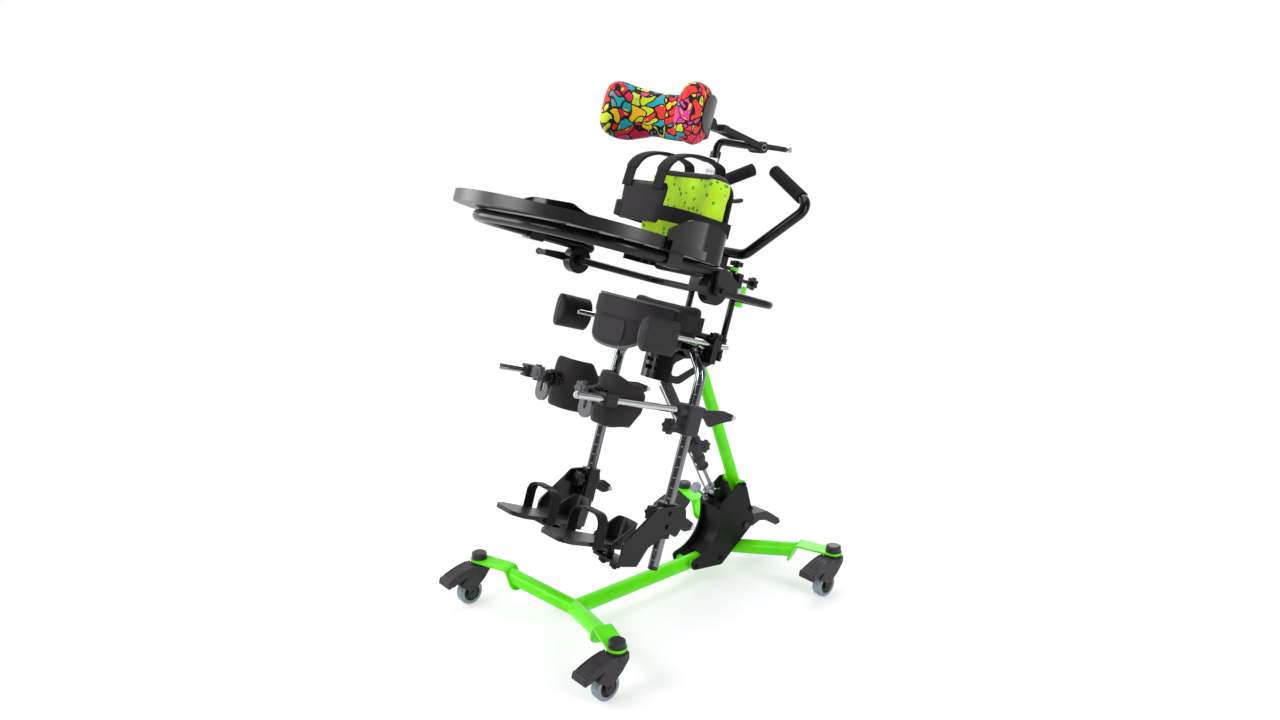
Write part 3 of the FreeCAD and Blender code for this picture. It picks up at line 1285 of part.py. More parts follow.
shellTrim = sideProfile("ShellTrim", [
    (-190, 478, 12), (-190, 560, 12), (-318, 560, 30), (-318, 478, 30),
], -170, 340)
restShell = common("RestShellForm", restRing("RestShell", restRadius + restShellThick, restRadius,
                                             restLow, asSize(150)), shellTrim)
restLugs = [sideProfile("RestLug", [(-208, 512), (-208, 554), (-150, 545, 8), (-140, 533, 6),
                                    (-150, 521, 8)], start, 6) for start in (-18, 12)]
restLugTrim = rod("RestLugTrim", restRadius + 0.5, (0, -restBack, 480), 100)
restPin = rod("RestPin", 5, (-18, *linkFront), 36, "X")
addNode("headrest_shell", fuse("RestShellWhole", restShell,
                               cut("RestLugPair", fuse("RestLugSet", *restLugs), restLugTrim),
                               restPin), frame="support")
restTrim = sideProfile("RestTrim", [
    (-190, 462, 14), (-190, 576, 20), (-292, 582, 40), (-374, 556, 46), (-372, 446, 34),
    (-310, 438, 30), (-256, 460, 30),
], -170, 340)
restForm = restRing("RestPad", restRadius, restRadius - restPadThick, restLow, asSize(150))
restFront = planProfile("RestFront", [
    (-restRadius, 2 - restBack), (-restRadius, -372, 22), (restRadius, -372, 22),
    (restRadius, 2 - restBack),
], restLow, 150)
restInside = block("RestInside", (restPadThick - restRadius, restRadius - restPadThick),
                   (-400, -restBack), (400, 620))
restWhole = cut("RestWhole", common("RestLobes", fuse("RestBlank", restForm, restFront), restTrim),
                fuse("RestRoom", rod("RestRoomRound", restRadius - restPadThick,
                                     (0, -restBack, 400), 220), restInside))
addNode("headrest_pad", restWhole, frame="support")


# ---------------------------------------------------------------- checks and export

def finish():
    doc.recompute()
    for thing in doc.Objects:
        if "Invalid" in thing.State or "Error" in thing.State:
            raise RuntimeError("not computed: " + thing.Label)
    os.makedirs("parts", exist_ok=True)
    for node in nodes:
        shape = node.Shape
        if not shape.isValid() or not shape.Solids:
            raise RuntimeError("bad shape: " + node.Label)
        shape.exportStep("parts/" + node.Label + ".step")
        print(node.Label, len(shape.Solids), round(shape.Volume / 1000, 1), "cm3")


finish()
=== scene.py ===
import math

import bmesh
import bpy
import numpy as np
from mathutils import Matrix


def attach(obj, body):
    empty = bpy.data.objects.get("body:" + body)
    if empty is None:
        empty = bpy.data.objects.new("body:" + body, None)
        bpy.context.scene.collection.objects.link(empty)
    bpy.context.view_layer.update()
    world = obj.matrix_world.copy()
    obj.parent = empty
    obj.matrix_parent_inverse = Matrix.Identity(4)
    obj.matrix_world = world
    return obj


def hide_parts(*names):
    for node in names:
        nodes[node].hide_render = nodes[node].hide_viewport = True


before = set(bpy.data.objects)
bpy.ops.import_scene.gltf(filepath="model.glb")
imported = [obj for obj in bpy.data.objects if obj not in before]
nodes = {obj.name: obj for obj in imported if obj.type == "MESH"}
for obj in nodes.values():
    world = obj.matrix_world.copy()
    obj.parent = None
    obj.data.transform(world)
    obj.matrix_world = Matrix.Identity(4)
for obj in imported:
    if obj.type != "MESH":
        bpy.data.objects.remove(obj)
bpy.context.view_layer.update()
print("frame loaded:", len(nodes), "nodes")

# where the reclined support sits: points on it are given across, back and up, in mm
support = {"recline": 18.0, "pivotBack": 162.9, "pivotHeight": 630.0}


# Turns support points (n, 3) in mm into places in metres: a turn by the recline angle
# about the pivot, then a move to where the pivot is.
def seated(points):
    points = np.asarray(points, float)
    lean = math.radians(support["recline"])
    across, back, up = points[..., 0], points[..., 1], points[..., 2]
    return np.stack([
        across,
        back * math.cos(lean) + up * math.sin(lean) + support["pivotBack"],
        up * math.cos(lean) - back * math.sin(lean) + support["pivotHeight"],
    ], axis=-1) / 1000


# Turns an sRGB hex value into the linear colour a shader takes.
def hexColour(value):
    channels = [int(value[i:i + 2], 16) / 255 for i in (1, 3, 5)]
    return [c / 12.92 if c <= 0.04045 else ((c + 0.055) / 1.055) ** 2.4 for c in channels] + [1.0]


# Adds one node: settings are its properties; inputs are nodes (their first output is linked),
# sockets or plain values.
def addNode(tree, kind, inputs=None, **settings):
    node = tree.nodes.new("ShaderNode" + kind)
    for name, value in settings.items():
        if name == "stops":
            ramp = node.color_ramp.elements
            while len(ramp) < len(value):
                ramp.new(0.5)
            for stop, (place, colour) in zip(ramp, value):
                stop.position = place
                stop.color = hexColour(colour)
        elif name == "steps":
            node.color_ramp.interpolation = value
        else:
            setattr(node, name, value)
    for name, value in (inputs or {}).items():
        if isinstance(value, bpy.types.Node):
            value = value.outputs[0]
        if isinstance(value, bpy.types.NodeSocket):
            tree.links.new(value, node.inputs[name])
        else:
            node.inputs[name].default_value = value
    return node


# A material with one Principled shader: returns it, its tree and the shader.
def newMaterial(name, colour, **sockets):
    material = bpy.data.materials.new(name)
    material.use_nodes = True
    tree = material.node_tree
    tree.nodes.clear()
    shader = addNode(tree, "BsdfPrincipled", {"Base Color": hexColour(colour)})
    for socket, value in sockets.items():
        shader.inputs[socket.replace("_", " ")].default_value = value
    addNode(tree, "OutputMaterial", {"Surface": shader})
    return material, tree, shader


# Object coordinates counted in cells of the given size in mm, one size for all axes or one each.
def objectPlace(tree, cellMm=1):
    place = addNode(tree, "TexCoord").outputs["Object"]
    return addNode(tree, "Mapping", {
        "Vector": place, "Scale": [1000 * (1 / size) for size in np.broadcast_to(cellMm, 3)]})


# Object coordinates turned back into the support's own millimetres: across, back and up.
def supportPlace(tree):
    return addNode(tree, "Mapping", {
        "Vector": addNode(tree, "TexCoord").outputs["Object"],
        "Location": [0, support["pivotBack"] / 1000, support["pivotHeight"] / 1000],
        "Rotation": [-math.radians(support["recline"]), 0, 0], "Scale": [0.001] * 3,
    }, vector_type="TEXTURE")


# Even ribs: 0.5 + 0.5 * sine of the coordinate over its pitch.
def ribs(tree, coordinate, pitch):
    turn = addNode(tree, "Math", {0: coordinate, 1: 2 * math.pi / pitch}, operation="MULTIPLY")
    wave = addNode(tree, "Math", {0: turn}, operation="SINE")
    raised = addNode(tree, "Math", {0: wave, 1: 1.0}, operation="ADD")
    return addNode(tree, "Math", {0: raised, 1: 0.5}, operation="MULTIPLY")


# 1 inside a drum round an axis (0, 1 or 2) through a spot, from low to high along it.
def drum(tree, place, spot, axis, radius, low, high):
    offset = addNode(tree, "VectorMath", {0: place, 1: list(spot)}, operation="SUBTRACT")
    flat = addNode(tree, "VectorMath", {0: offset, 1: [0 if i == axis else 1 for i in range(3)]},
                   operation="MULTIPLY")
    away = addNode(tree, "VectorMath", {0: flat}, operation="LENGTH").outputs["Value"]
    along = addNode(tree, "SeparateXYZ", {0: offset}).outputs[axis]
    inside = addNode(tree, "Math", {0: away, 1: radius}, operation="LESS_THAN")
    for operation, bound in (("GREATER_THAN", low), ("LESS_THAN", high)):
        within = addNode(tree, "Math", {0: along, 1: bound}, operation=operation)
        inside = addNode(tree, "Math", {0: inside, 1: within}, operation="MULTIPLY")
    return inside


# Lays another colour, roughness and metal share over part of a finish, by a mask of 0 and 1.
def patch(tree, mask, colour, roughness, metallic=0.0):
    shader = [n for n in tree.nodes if n.bl_idname == "ShaderNodeBsdfPrincipled"][0]
    socket = shader.inputs["Base Color"]
    under = socket.links[0].from_socket if socket.links else list(socket.default_value)
    mixed = addNode(tree, "MixRGB", {0: mask, 1: under, 2: hexColour(colour)})
    tree.links.new(mixed.outputs[0], socket)
    for name, value in (("Roughness", roughness), ("Metallic", metallic)):
        socket = shader.inputs[name]
        under = socket.links[0].from_socket if socket.links else socket.default_value
        span = addNode(tree, "MapRange", {"Value": mask, "To Min": under, "To Max": value})
        tree.links.new(span.outputs[0], socket)


# Roughens the normal: a height in mm from a texture, laid over edges rounded by edgeMm.
def roughNormal(tree, shader, height, depthMm, edgeMm=0):
    rounded = {}
    if edgeMm:
        rounded["Normal"] = addNode(tree, "Bevel", {"Radius": edgeMm / 1000}, samples=4)
    bump = addNode(tree, "Bump", {"Height": height, "Distance": depthMm / 1000,
                                  "Strength": 1.0, **rounded})
    tree.links.new(bump.outputs[0], shader.inputs["Normal"])


# Varies a colour about its own value: a noise of the given size in mm mixes it with a second.
def clouded(tree, shader, first, second, sizeMm):
    noise = addNode(tree, "TexNoise", {"Vector": objectPlace(tree, sizeMm), "Scale": 1.0,
                                       "Detail": 2.0})
    ramp = addNode(tree, "ValToRGB", {"Fac": noise.outputs["Fac"]},
                   stops=[(0.3, first), (0.7, second)])
    tree.links.new(ramp.outputs[0], shader.inputs["Base Color"])
    return ramp


# powder-coated steel: sprayed and baked, an even colour with a faint orange peel
def powderCoat(name, colour, shade, roughness, specular):
    material, tree, shader = newMaterial(name, colour, Roughness=roughness, IOR=1.5,
                                         Specular_IOR_Level=specular)
    clouded(tree, shader, colour, shade, 30)
    peel = addNode(tree, "TexNoise", {"Vector": objectPlace(tree, 1.8), "Scale": 1.0})
    roughNormal(tree, shader, peel.outputs["Fac"], 0.05, 0.8)  # peel drawn at 1.8 mm, to show
    return material


# moulded nylon or ABS: a spark-eroded grain pressed in by the mould
def moulded(name, colour, shade, roughness, grainMm, depthMm, specular=0.3, edgeMm=0.8):
    material, tree, shader = newMaterial(name, colour, Roughness=roughness, IOR=1.5,
                                         Specular_IOR_Level=specular)
    clouded(tree, shader, colour, shade, 12)
    grain = addNode(tree, "TexNoise", {"Vector": objectPlace(tree, grainMm), "Scale": 1.0,
                                       "Detail": 3.0})
    roughNormal(tree, shader, grain.outputs["Fac"], depthMm, edgeMm)
    return material


# chromium plate on steel tube: a dark mirror with faint draw lines along it
def chromePlate(name, colour, roughness):
    material, tree, shader = newMaterial(name, colour, Roughness=roughness, Metallic=1.0)
    grain = addNode(tree, "TexNoise", {"Vector": objectPlace(tree, (3, 3, 25)), "Scale": 1.0})
    haze = addNode(tree, "MapRange", {"Value": grain.outputs["Fac"], "To Min": roughness * 0.7,
                                      "To Max": roughness * 1.6})
    tree.links.new(haze.outputs[0], shader.inputs["Roughness"])
    roughNormal(tree, shader, grain.outputs["Fac"], 0.02, 0.5)
    return material


# knitted cloth over foam: small round stitches, a matt face with a soft sheen at its edges
def knitted(name, colour, shade, fleck, stitchMm, depthMm):
    material, tree, shader = newMaterial(name, colour, Roughness=0.92, IOR=1.45,
                                         Specular_IOR_Level=0.2, Sheen_Weight=0.2,
                                         Sheen_Roughness=0.5)
    base = clouded(tree, shader, colour, shade, 18)
    stitch = addNode(tree, "TexVoronoi", {"Vector": objectPlace(tree, stitchMm), "Scale": 1.0})
    speck = addNode(tree, "TexNoise", {"Vector": objectPlace(tree, 2.2), "Scale": 1.0,
                                       "Detail": 3.0})
    amount = addNode(tree, "MapRange", {"Value": speck.outputs["Fac"], "From Min": 0.52,
                                        "From Max": 0.72, "To Max": 0.55})
    mixed = addNode(tree, "MixRGB", {0: amount, 1: base, 2: hexColour(fleck)})
    tree.links.new(mixed.outputs[0], shader.inputs["Base Color"])
    roughNormal(tree, shader, stitch.outputs["Distance"], -depthMm)
    return material


# woven webbing: ribs across the strap every ribMm, and along it where acrossToo gives a pitch;
# both are read from the cloth's run. The rib height also sets the colour: painted shade darkens
# the valleys towards the shade colour, and the crests keep the main colour
def woven(name, colour, shade, ribMm, depthMm, acrossToo=0.0):
    material, tree, shader = newMaterial(name, colour, Roughness=0.85, IOR=1.5,
                                         Specular_IOR_Level=0.25, Sheen_Weight=0.1)
    run = addNode(tree, "SeparateXYZ", {0: addNode(tree, "UVMap", uv_map="runOfCloth")})
    height = ribs(tree, run.outputs[1], ribMm / 1000)
    if acrossToo:
        warp = ribs(tree, run.outputs[0], acrossToo / 1000)
        share = addNode(tree, "Math", {0: warp, 1: 0.6}, operation="MULTIPLY")
        share = addNode(tree, "Math", {0: share, 1: 0.4}, operation="ADD")
        height = addNode(tree, "Math", {0: height, 1: share}, operation="MULTIPLY")
    # painted shade: the colour follows the rib height, darker in the valleys between the ribs
    ramp = addNode(tree, "ValToRGB", {"Fac": height}, stops=[(0.1, shade), (0.7, colour)])
    tree.links.new(ramp.outputs[0], shader.inputs["Base Color"])
    roughNormal(tree, shader, height, depthMm)
    return material


# printed jersey: abstract rounded patches in bright inks on a black ground, with small dots of
# a second ink on them
def printed(name, inks, ground, patchMm):
    material, tree, shader = newMaterial(name, ground, Roughness=0.75, IOR=1.45,
                                         Specular_IOR_Level=0.25, Sheen_Weight=0.15)
    place = objectPlace(tree, patchMm)
    drift = addNode(tree, "TexNoise", {"Vector": place, "Scale": 0.9, "Detail": 0.0})
    bent = addNode(tree, "VectorMath", {0: drift.outputs["Color"], 1: [1.9] * 3},
                   operation="MULTIPLY")
    bent = addNode(tree, "VectorMath", {0: place, 1: bent}, operation="ADD")
    cell = addNode(tree, "TexVoronoi", {"Vector": bent, "Scale": 1.0})
    edge = addNode(tree, "TexVoronoi", {"Vector": bent, "Scale": 1.0}, feature="DISTANCE_TO_EDGE")
    pick = addNode(tree, "SeparateXYZ", {0: cell.outputs["Color"]}).outputs[0]
    ink = addNode(tree, "ValToRGB", {"Fac": pick}, steps="CONSTANT",
                  stops=[(i / len(inks), value) for i, value in enumerate(inks)])
    inner = addNode(tree, "TexVoronoi", {"Vector": bent, "Scale": 1.9})
    hole = addNode(tree, "Math", {0: inner.outputs["Distance"], 1: 0.24}, operation="LESS_THAN")
    second = addNode(tree, "SeparateXYZ", {0: cell.outputs["Color"]}).outputs[1]
    innerInk = addNode(tree, "ValToRGB", {"Fac": second}, steps="CONSTANT",
                       stops=[(i / len(inks), value) for i, value in enumerate(inks[::-1])])
    ink = addNode(tree, "MixRGB", {0: hole, 1: ink, 2: innerInk})
    inside = addNode(tree, "Math", {0: edge.outputs["Distance"], 1: 0.075},
                     operation="GREATER_THAN")
    mixed = addNode(tree, "MixRGB", {0: inside, 1: hexColour(ground), 2: ink})
    tree.links.new(mixed.outputs[0], shader.inputs["Base Color"])
    stitch = addNode(tree, "TexVoronoi", {"Vector": objectPlace(tree, 1.2), "Scale": 1.0})
    roughNormal(tree, shader, stitch.outputs["Distance"], -0.12)
    return material


finish = {
    "limePaint": powderCoat("powderCoatLime", "#5EE000", "#56D600", 0.32, 0.25),
    "blackPaint": powderCoat("powderCoatBlack", "#09090B", "#0D0D10", 0.24, 0.30),
    "satinPaint": powderCoat("powderCoatSatin", "#0C0C0E", "#101012", 0.42, 0.16),
    "mountPaint": powderCoat("powderCoatMount", "#0C0C0E", "#101013", 0.30, 0.22),
    "postPaint": powderCoat("powderCoatPost", "#09090B", "#0D0D10", 0.28, 0.30),
    "linkNylon": moulded("linkNylon", "#1D1B1F", "#262428", 0.42, 0.5, 0.03),
    "leverNylon": moulded("leverNylon", "#19171B", "#221F24", 0.45, 0.5, 0.03),
    "kneeNylon": moulded("kneeNylon", "#141317", "#1B191D", 0.45, 0.5, 0.03),
    "nylon": moulded("glassFilledNylon", "#2A272C", "#332F35", 0.48, 0.5, 0.04),
    "darkCap": moulded("nylonCap", "#1D1A20", "#252228", 0.40, 0.5, 0.02, 0.4),
    "glossAbs": moulded("glossAbs", "#060607", "#08080A", 0.09, 2.5, 0.01, 0.35),
    "satinAbs": moulded("grainedAbs", "#121114", "#19181B", 0.33, 0.6, 0.03, 0.5),
    "gripFoam": moulded("nitrileFoam", "#171619", "#201F22", 0.85, 0.9, 0.10, 0.15),
    "chrome": chromePlate("chromePlate", "#C4C6CA", 0.10),
    "legChrome": chromePlate("chromePlatedTube", "#7A7C80", 0.12),
    "steel": chromePlate("zincPlatedSteel", "#8E9095", 0.26),
    "webbing": woven("polyesterWebbing", "#121214", "#08080A", 2.2, 0.25),
    "ribbedBand": woven("wovenElastic", "#403C40", "#1F1D20", 3.2, 0.25, 2.6),
    "piping": woven("boundPiping", "#6E6C70", "#5A585C", 1.6, 0.10),
    "sleeve": woven("nylonSleeve", "#17171A", "#0D0D10", 1.8, 0.12, 1.8),
    "charcoalFabric": knitted("charcoalKnit", "#242125", "#2B282C", "#3A373B", 1.8, 0.22),
    "heather": knitted("heatherPolyester", "#3A383C", "#2E2C30", "#6A686C", 1.6, 0.15),
    "neoprene": knitted("neopreneJersey", "#211D1F", "#282426", "#322D30", 1.6, 0.10),
    "vinyl": moulded("leatherVinyl", "#1B191C", "#222023", 0.50, 1.1, 0.10, 0.3, 0),
    "limeFabric": knitted("limeJersey", "#B9E32A", "#AEDC22", "#C9EC4A", 1.4, 0.10),
    "printFabric": printed("printedJersey", ["#D6204A", "#E8352F", "#17A7B4", "#C7D92B", "#D83A8C",
                                             "#F0C01F"], "#121015", 30),
}

# lime back cover: round dark-green dots about 9 mm across
backDots = {"cell": 17, "stray": 0.8, "reach": 0.27}
tree = finish["limeFabric"].node_tree
dots = addNode(tree, "TexVoronoi", {"Vector": objectPlace(tree, backDots["cell"]), "Scale": 1.0,
                                    "Randomness": backDots["stray"]})
dot = addNode(tree, "Math", {0: dots.outputs["Distance"], 1: backDots["reach"]},
              operation="LESS_THAN")
patch(tree, dot, "#4FA52C", 0.9)

# leg tubes: thin tick marks down the front of each, turned a little to its left; both share one
# pattern, which repeats at twice their distance from the middle
leg = {"across": 147, "front": 123, "outward": (0.53, -0.85, 0), "sideways": (0.85, 0.53, 0),
       "pitch": 25, "crest": 0.985, "halfWidth": 3.4, "clear": 8}
tree = finish["legChrome"].node_tree
spread = addNode(tree, "SeparateXYZ", {0: supportPlace(tree)})
across = spread.outputs[0]
for operation, value in (("ADD", 2 * leg["across"]), ("MODULO", 2 * leg["across"]),
                         ("SUBTRACT", leg["across"])):
    across = addNode(tree, "Math", {0: across, 1: value}, operation=operation)
back = addNode(tree, "Math", {0: spread.outputs[1], 1: leg["front"]}, operation="ADD")
fromAxis = addNode(tree, "CombineXYZ", {0: across, 1: back})
facing, beside = [addNode(tree, "VectorMath", {0: fromAxis, 1: leg[way]},
                          operation="DOT_PRODUCT").outputs["Value"]
                  for way in ("outward", "sideways")]
tick = addNode(tree, "Math", {0: ribs(tree, spread.outputs[2], leg["pitch"]), 1: leg["crest"]},
               operation="GREATER_THAN")
for mask in (addNode(tree, "Math", {0: beside, 1: 0.0, 2: leg["halfWidth"]}, operation="COMPARE"),
             addNode(tree, "Math", {0: facing, 1: leg["clear"]}, operation="GREATER_THAN")):
    tick = addNode(tree, "Math", {0: tick, 1: mask}, operation="MULTIPLY")
patch(tree, tick, "#8A8886", 0.45)

# where a finish changes along a piece, in the support's mm: a spot, an axis (0 across, 1 back,
# 2 up), a radius, low and high along the axis, then colour, roughness and metal share
marks = {
    "limeFabric": [((0, 0, 0), 2, 900, 396, 600, "#121114", 0.85, 0)],  # cap along the top
    "legChrome": [((0, 0, 0), 2, 900, -700, -509, "#141316", 0.5, 0)],  # plug at the foot
    "mountPaint": [((0, 47, 0), 2, 16.3, 209.5, 224.5, "#55DC14", 0.35, 0),  # lime height ring
                   ((0, 92, 0), 2, 18.3, 128, 186, "#55DC14", 0.35, 0)],  # lime socket
    "postPaint": [((0, -107, 0), 2, 22, 300, 462, "#A4A6AA", 0.3, 1)],  # bright zinc flat bar
    "linkNylon": [((0, 31, 528.5), 0, 8, -900, 900, "#C8C9CC", 0.3, 1),  # zinc pin caps
                  ((0, 117, 547), 0, 7.3, -900, 900, "#C8C9CC", 0.3, 1)],
    "leverNylon": [(spot, 0, 6.3, -900, 900, "#C8C9CC", 0.3, 1)  # plated round tips
                   for spot in ((0, 8, -134), (0, -40, -409), (0, -198, 158))],
}
for key, changes in marks.items():
    tree = finish[key].node_tree
    place = supportPlace(tree)
    for spot, axis, radius, low, high, colour, roughness, metal in changes:
        patch(tree, drum(tree, place, spot, axis, radius, low, high), colour, roughness, metal)

# castor wheels: a black nylon hub in a grey tyre; one finish for each pair of axles
castorWheel = {"radius": 31.75, "hub": 21.5, "Front": -360.1, "Rear": 357.9}
for end in ("Front", "Rear"):
    wheel = moulded("polyurethaneTyre" + end, "#76858C", "#87959B", 0.5, 0.8, 0.02)
    finish["castorWheel" + end] = wheel
    tree = wheel.node_tree
    hub = drum(tree, objectPlace(tree), (0, castorWheel[end], castorWheel["radius"]), 0,
               castorWheel["hub"], -900, 900)
    patch(tree, hub, "#151417", 0.4)

# knee knobs and slotted discs: a lighter grey nylon, mirrored by the distance from the middle;
# how far up, radius, low and high along the joint, then colour and roughness
kneeAcross = 82
tree = finish["kneeNylon"].node_tree
spread = addNode(tree, "SeparateXYZ", {0: supportPlace(tree)})
across = addNode(tree, "Math", {0: spread.outputs[0]}, operation="ABSOLUTE")
folded = addNode(tree, "CombineXYZ", {0: across, 1: spread.outputs[1], 2: spread.outputs[2]})
for up, radius, low, high, colour, roughness in ((-130, 22, -440, -402.5, "#47454A", 0.45),
                                                 (-170, 24, -392, -383.5, "#5A585C", 0.4)):
    patch(tree, drum(tree, folded, (kneeAcross, 0, up), 1, radius, low, high), colour, roughness)

# which finish each CAD node has; names that end in _ take their side, or their end and side
coated = {
    "limePaint": ["base_frame", "mast_tube"],
    "satinPaint": ["mast_bracket"],
    "postPaint": ["head_post"],
    "linkNylon": ["head_link"],
    "blackPaint": ["back_frame", "push_handle", "tray_arm", "back_shell"],
    "mountPaint": ["tray_mount"],
    "leverNylon": ["tray_levers"],
    "darkCap": ["castor_caps"],
    "nylon": ["foot_pedal", "gas_cylinder", "release_lever"],
    "satinAbs": ["tray_top", "headrest_shell"],
    "glossAbs": ["elbow_stops"],
    "gripFoam": ["hand_grips"],
    "steel": ["lock_plunger", "gas_rod"],
    "limeFabric": ["back_pad"],
    "printFabric": ["headrest_pad"],
    "charcoalFabric": ["pelvic_belt", "hip_pad"],
    "webbing": ["chest_harness"],
    "castorWheelFront": ["castor_wheel_front_left", "castor_wheel_front_right"],
    "castorWheelRear": ["castor_wheel_rear_left", "castor_wheel_rear_right"],
}
sided = {
    "blackPaint": ["foot_bracket_"],
    "nylon": ["knee_clamp_"],
    "leverNylon": ["knee_lever_", "foot_lever_"],
    "kneeNylon": ["knee_joint_"],
    "satinAbs": ["footplate_"],
    "legChrome": ["leg_tube_"],
    "chrome": ["knee_bar_"],
    "vinyl": ["hip_guide_"],
    "neoprene": ["knee_pad_"],
    "webbing": ["foot_strap_"],
}
cornered = {"nylon": ["castor_fork_", "castor_pedal_"]}
for key, names in sided.items():
    coated.setdefault(key, []).extend(n + side for n in names for side in ("left", "right"))
for key, names in cornered.items():
    coated.setdefault(key, []).extend(
        n + end + "_" + side for n in names for end in ("front", "rear") for side in ("left", "right"))
for key, names in coated.items():
    for name in names:
        slots = nodes[name].data.materials
        for i in range(len(slots)):
            slots[i] = finish[key]
        if not slots:
            slots.append(finish[key])
print("finishes laid; nodes without one:",
      sorted(set(nodes) - {n for names in coated.values() for n in names}))


# Spreads points evenly by length along a route given by its corners.
def evenly(route, count):
    route = np.asarray(route, float)
    along = np.concatenate([[0], np.cumsum(np.linalg.norm(np.diff(route, axis=0), axis=1))])
    spots = np.linspace(0, along[-1], count)
    return np.stack([np.interp(spots, along, route[:, i]) for i in range(route.shape[1])], -1)


# A horseshoe in plan: straight sides at +half and -half run from the open end to quarter circles
# of the radius, which meet a straight closed end; the points are evenly spaced.
def horseshoe(half, openEnd, closedEnd, radius, count):
    arc = np.linspace(0, math.pi / 2, 24)
    inward = math.copysign(radius, openEnd - closedEnd)
    right = np.stack([half - radius + radius * np.cos(arc),
                      closedEnd + inward * (1 - np.sin(arc))], -1)
    left = right[::-1] * [-1, 1]
    return evenly(np.concatenate([[[half, openEnd]], right, left, [[-half, openEnd]]]), count)


# Lifts a plan of across and back to a height, one for all its points or one each.
def lifted(plan, up):
    return np.stack([plan[:, 0], plan[:, 1], np.broadcast_to(up, len(plan))], -1)


# How far each of a plan's evenly spaced points is from the nearer end, along the plan.
def fromEnds(plan):
    length = np.linalg.norm(np.diff(plan, axis=0), axis=1).sum()
    along = np.linspace(0, length, len(plan))
    return np.minimum(along, length - along)


# The outline of a strip: a superellipse, wide by the cosine and thick by the sine of an angle,
# each raised to 2 / power; a higher power gives squarer edges.
def stripSection(count, power):
    angle = np.linspace(0, 2 * math.pi, count, endpoint=False)
    return [np.sign(way) * np.abs(way) ** (2 / power) for way in (np.cos(angle), np.sin(angle))]


# Unit headings along a path of points, by central differences.
def headings(path):
    ahead = np.gradient(path, axis=0)
    return ahead / np.linalg.norm(ahead, axis=1, keepdims=True)


# Sweeps a strip along a path: point = path + wide * half width * width direction
# + thick * half thickness * the direction square to both width and heading.
def sweptStrip(path, widthways, halfWidth, halfThick, count=24, power=4):
    wide, thick = stripSection(count, power)
    widthways = np.broadcast_to(np.asarray(widthways, float), path.shape)
    ahead = headings(path)
    across = widthways - ahead * np.sum(widthways * ahead, axis=1, keepdims=True)
    across /= np.linalg.norm(across, axis=1, keepdims=True)
    outward = np.cross(ahead, across)
    halfWidth = np.broadcast_to(halfWidth, (len(path),))[:, None, None]
    halfThick = np.broadcast_to(halfThick, (len(path),))[:, None, None]
    return (path[:, None] + across[:, None] * wide[None, :, None] * halfWidth
            + outward[:, None] * thick[None, :, None] * halfThick)


# One closed run of a grid (rows, columns, 3): each quad joins a point to its neighbours in the
# next row and column, columns wrap round, and both ends close on a middle point. The UV map runs
# round the section and along the rows, in metres of real length.
def closedRun(grid):
    rows, columns = grid.shape[:2]
    row, column = np.meshgrid(np.arange(rows - 1), np.arange(columns), indexing="ij")
    following = (column + 1) % columns
    quads = np.stack([row * columns + column, row * columns + following,
                      (row + 1) * columns + following, (row + 1) * columns + column], -1)
    last, middle = (rows - 1) * columns, rows * columns
    edge = np.arange(columns)
    starts = np.stack([np.full(columns, middle), (edge + 1) % columns, edge], -1)
    ends = np.stack([np.full(columns, middle + 1), last + edge, last + (edge + 1) % columns], -1)
    points = np.concatenate([grid.reshape(-1, 3), grid[:1].mean(axis=1), grid[-1:].mean(axis=1)])
    around = np.linalg.norm(np.diff(np.concatenate([grid[rows // 2], grid[rows // 2][:1]]), axis=0),
                            axis=1)
    u = np.concatenate([[0], np.cumsum(around)]) / 1000
    v = np.concatenate([[0], np.cumsum(np.linalg.norm(
        np.diff(grid.mean(axis=1), axis=0), axis=1))]) / 1000
    quadUv = np.stack([np.stack([u[column + i], v[row + j]], -1)
                       for i, j in ((0, 0), (1, 0), (1, 1), (0, 1))], 2)
    fans = [np.stack([np.stack([u[edge + i] * (k > 0), np.full(columns, end)], -1)
                      for k, i in enumerate(order)], 1)
            for end, order in ((v[0], (0, 1, 0)), (v[-1], (0, 0, 1)))]
    uv = np.concatenate([quadUv.reshape(-1), fans[0].reshape(-1), fans[1].reshape(-1)])
    return points, quads.reshape(-1, 4).tolist() + starts.tolist() + ends.tolist(), uv


# Makes a piece of one or more grids of points in mm, which place turns into metres.
def gridPiece(name, grids, material, body, place=seated):
    runs = [closedRun(grid) for grid in (grids if isinstance(grids, list) else [grids])]
    faces, base = [], 0
    for points, polygons, _ in runs:
        faces += [[corner + base for corner in polygon] for polygon in polygons]
        base += len(points)
    mesh = bpy.data.meshes.new(name)
    mesh.from_pydata(place(np.concatenate([run[0] for run in runs])).tolist(), [], faces)
    layer = mesh.uv_layers.new(name="runOfCloth")
    layer.data.foreach_set("uv", np.concatenate([run[2] for run in runs]).astype(np.float32))
    mesh.polygons.foreach_set("use_smooth", [True] * len(mesh.polygons))
    mesh.materials.append(material)
    piece = bpy.data.objects.new(name, mesh)
    bpy.context.collection.objects.link(piece)
    outwards(piece)
    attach(piece, body)
    return piece


# Turns every face of a closed mesh outwards.
def outwards(piece):
    solid = bmesh.new()
    solid.from_mesh(piece.data)
    bmesh.ops.recalc_face_normals(solid, faces=solid.faces)
    solid.to_mesh(piece.data)
    solid.free()


sides = (("left", 1), ("right", -1))  # and which way each lies across the middle plane


# A grid made for the left side: itself, or its mirror image where the sign is the right side's.
def onSide(grid, sign):
    return grid if sign > 0 else grid[:, ::-1] * np.array([-1, 1, 1])


# A round run along a path in mm: a circle carried along it, for piping, a bar or a rib.
def roundGrid(path, radius, count=12):
    return sweptStrip(np.asarray(path, float), [0.31, 0.17, 0.93], radius, radius, count, 2)


# The same round run as a piece of its own.
def roundPiece(name, path, radius, material, body, count=12):
    return gridPiece(name, roundGrid(path, radius, count), material, body)


